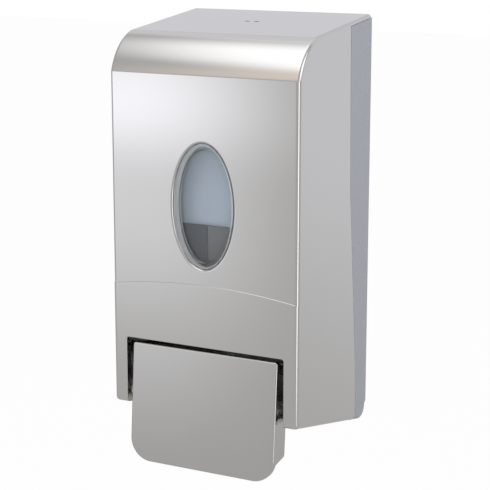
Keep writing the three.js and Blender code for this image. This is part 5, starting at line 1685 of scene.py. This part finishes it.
WHITE = (1, 1, 1, 1)
SENSOR_WIDTH = 36  # of a full-frame camera, in millimetres

# The glowing panels, in metres: each is seen as a mirror image in one face of the cover
PANELS = (
    # name, colour, middle, half width, half height, soft edges across and up, brightness, axis it faces
    ("front_panel", "F0F3FF", (-0.42, -0.504, 0.035), 0.36, 0.085, 0.24, 0.075, 0.82, "y"),
    ("front_low_panel", "F0F3FF", (-0.43, -0.506, -0.07), 0.35, 0.2, 0.2, 0.2, 0.45, "y"),
    ("front_high_panel", "FFE6D2", (-0.15, -1.0, 1.15), 0.7, 1.05, 0.45, 0.7, 0.46, "y"),
    ("overhead_panel", "F8FAFF", (-0.05, -0.24, 0.65), 0.44, 0.56, 0.27, 0.46, 1.1, "z"),
    ("rear_panel", "E8ECFF", (0.0, 0.8, 0.2), 1.2, 0.75, 0.3, 0.5, 0.26, "y"),
    ("rear_high_panel", "EFEFFF", (0.0, 0.82, 1.35), 1.2, 0.75, 0.3, 0.4, 0.3, "y"),
    ("right_panel", "F4F6FF", (0.9, -0.1, 0.55), 0.5, 0.45, 0.3, 0.3, 1.3, "x"),
    ("edge_panel", "FFFFFF", (0.9, -0.55, -0.1), 0.22, 0.4, 0.1, 0.15, 1.5, "x"),
)


class DISPENSER_OT_stage(bpy.types.Operator):
    """Sets up the pale floor, the studio light and the camera"""
    bl_idname = "dispenser.stage"
    bl_label = "Stage"

    def execute(self, context):
        stage = context.scene.dispenser_stage
        add_floor(stage)
        add_room(context, stage)
        for panel in PANELS:
            add_panel(*panel)
        add_lamp(stage)
        add_camera(context, stage)
        context.scene.view_settings.view_transform = "Standard"
        return {"FINISHED"}


def stage_material(piece, name):
    """Gives a stage object an empty material and returns its node tree."""
    material = bpy.data.materials.new(name)
    material.use_nodes = True
    material.node_tree.nodes.clear()
    piece.data.materials.append(material)
    return material.node_tree


def seen_directly(tree):
    """One where the camera looks straight at a surface or through a clear one, else zero."""
    rays = add_node(tree, "ShaderNodeLightPath")
    either = add_node(tree, "ShaderNodeMath", {0: rays.outputs["Is Camera Ray"],
                                               1: rays.outputs["Is Transmission Ray"]}, operation="MAXIMUM")
    return either.outputs[0]


def add_floor(stage):
    """A plain pale floor below the object, which keeps its shadow."""
    deselect()
    bpy.ops.mesh.primitive_plane_add(size=stage.floor_size, location=(0, 0, -stage.floor_drop))
    floor = bpy.context.object
    floor.name = "floor"
    tree = stage_material(floor, "pale_floor")
    plain = add_node(tree, "ShaderNodeBsdfDiffuse", {"Color": (*[stage.floor_pale] * 3, 1)})
    glow = add_node(tree, "ShaderNodeEmission", {"Color": WHITE, "Strength": 1})
    glowing = add_node(tree, "ShaderNodeMath", {0: seen_directly(tree), 1: stage.floor_glow},
                       operation="MULTIPLY")
    both = add_node(tree, "ShaderNodeMixShader", {0: glowing.outputs[0], 1: plain.outputs["BSDF"],
                                                  2: glow.outputs["Emission"]})
    add_node(tree, "ShaderNodeOutputMaterial", {"Surface": both.outputs["Shader"]})
    floor.visible_glossy = False


def add_room(context, stage):
    """A white room for the camera, which lights the object evenly and less."""
    world = bpy.data.worlds.new("studio")
    context.scene.world = world
    world.use_nodes = True
    tree = world.node_tree
    tree.nodes.clear()
    strength = add_node(tree, "ShaderNodeMapRange", {"Value": seen_directly(tree), "To Min": stage.ambient,
                                                     "To Max": 1})
    room = add_node(tree, "ShaderNodeBackground", {"Color": WHITE, "Strength": strength.outputs["Result"]})
    add_node(tree, "ShaderNodeOutputWorld", {"Surface": room.outputs["Background"]})


def add_panel(name, tint, middle, half_u, half_v, soft_u, soft_v, brightness, axis):
    """A glowing panel whose light fades towards its edges, so that its mirror image has no hard rim."""
    index = "xyz".index(axis)
    u, v = [middle[i] for i in range(3) if i != index]
    corners = rounded_rectangle((u - half_u, u + half_u), (v - half_v, v + half_v), 0, 0)
    panel = draw_face(name, corners, axis, middle[index])
    leave()
    half, soft = place(axis, 0, half_u, half_v), place(axis, 0, soft_u, soft_v)
    tree = stage_material(panel, name)
    where = add_node(tree, "ShaderNodeTexCoord").outputs["Object"]
    away = add_node(tree, "ShaderNodeVectorMath", {0: where, 1: middle}, operation="SUBTRACT")
    away = add_node(tree, "ShaderNodeVectorMath", {0: away.outputs[0]}, operation="ABSOLUTE")
    parts = add_node(tree, "ShaderNodeSeparateXYZ", {"Vector": away.outputs[0]})
    strength = brightness
    for i in range(3):
        if i == index:
            continue
        fade = add_node(tree, "ShaderNodeMapRange", {
            "Value": parts.outputs[i], "From Min": half[i] - soft[i], "From Max": half[i], "To Min": 1,
            "To Max": 0}, interpolation_type="SMOOTHSTEP")
        strength = add_node(tree, "ShaderNodeMath", {0: fade.outputs["Result"], 1: strength},
                            operation="MULTIPLY").outputs[0]
    glow = add_node(tree, "ShaderNodeEmission", {"Color": (*linear(tint), 1), "Strength": strength})
    behind = add_node(tree, "ShaderNodeBsdfTransparent")
    both = add_node(tree, "ShaderNodeAddShader", {0: glow.outputs["Emission"], 1: behind.outputs["BSDF"]})
    add_node(tree, "ShaderNodeOutputMaterial", {"Surface": both.outputs["Shader"]})
    panel.visible_camera = False


def add_lamp(stage):
    """A soft lamp above the object, which has no mirror image."""
    deselect()
    bpy.ops.object.light_add(type="AREA", location=stage.lamp_place)
    lamp = bpy.context.object
    lamp.name = "overhead_lamp"
    lamp.data.size = stage.lamp_size
    lamp.data.energy = stage.lamp_watts
    lamp.visible_glossy = False


def add_camera(context, stage):
    """The camera at the photograph's viewing angle."""
    deselect()
    bpy.ops.object.camera_add(location=stage.camera_place, rotation=stage.camera_turn)
    camera = bpy.context.object
    camera.name = "camera"
    camera.data.lens = stage.focal_length
    camera.data.sensor_width = SENSOR_WIDTH
    camera.data.shift_y = stage.camera_shift
    camera.data.clip_start = stage.nearest
    context.scene.camera = camera


PIECES = ("front_cover", "back_plate", "window", "lever", "pivot", "pump", "outlet", "tank", "carrier",
          "lock", "screws", "hinge_pins", "springs", "stage")

SETTINGS = {
    "dispenser_case": CaseSizes, "dispenser_front": FrontSizes, "dispenser_lever": LeverSizes,
    "dispenser_pump": PumpSizes, "dispenser_tank": TankSizes, "dispenser_screws": ScrewSizes,
    "dispenser_colours": FinishColours, "dispenser_stage": StageSettings}


class DISPENSER_PT_pieces(bpy.types.Panel):
    """Lists the pieces of the dispenser"""
    bl_label = "Soap Dispenser"
    bl_idname = "DISPENSER_PT_pieces"
    bl_space_type = "VIEW_3D"
    bl_region_type = "UI"
    bl_category = "Dispenser"

    def draw(self, context):
        for piece in PIECES:
            self.layout.operator(f"dispenser.{piece}")
        for name in SETTINGS:
            settings = getattr(context.scene, name)
            section = self.layout.box()
            for size in settings.__annotations__:
                section.prop(settings, size)


OPERATORS = (
    DISPENSER_OT_front_cover, DISPENSER_OT_back_plate, DISPENSER_OT_window, DISPENSER_OT_lever,
    DISPENSER_OT_pivot, DISPENSER_OT_pump, DISPENSER_OT_outlet, DISPENSER_OT_tank, DISPENSER_OT_carrier,
    DISPENSER_OT_lock, DISPENSER_OT_screws, DISPENSER_OT_hinge_pins, DISPENSER_OT_springs,
    DISPENSER_OT_stage, DISPENSER_PT_pieces)


def register():
    """Adds the settings, the operators and the panel."""
    for settings in SETTINGS.values():
        bpy.utils.register_class(settings)
    for name, settings in SETTINGS.items():
        setattr(bpy.types.Scene, name, bpy.props.PointerProperty(type=settings))
    for operator in OPERATORS:
        bpy.utils.register_class(operator)


def unregister():
    """Takes them away again."""
    for operator in reversed(OPERATORS):
        bpy.utils.unregister_class(operator)
    for name in SETTINGS:
        delattr(bpy.types.Scene, name)
    for settings in SETTINGS.values():
        bpy.utils.unregister_class(settings)


def main():
    """Makes every piece and the stage."""
    register()
    for piece in PIECES:
        getattr(bpy.ops.dispenser, piece)()
    deselect()


if __name__ == "__main__":
    main()
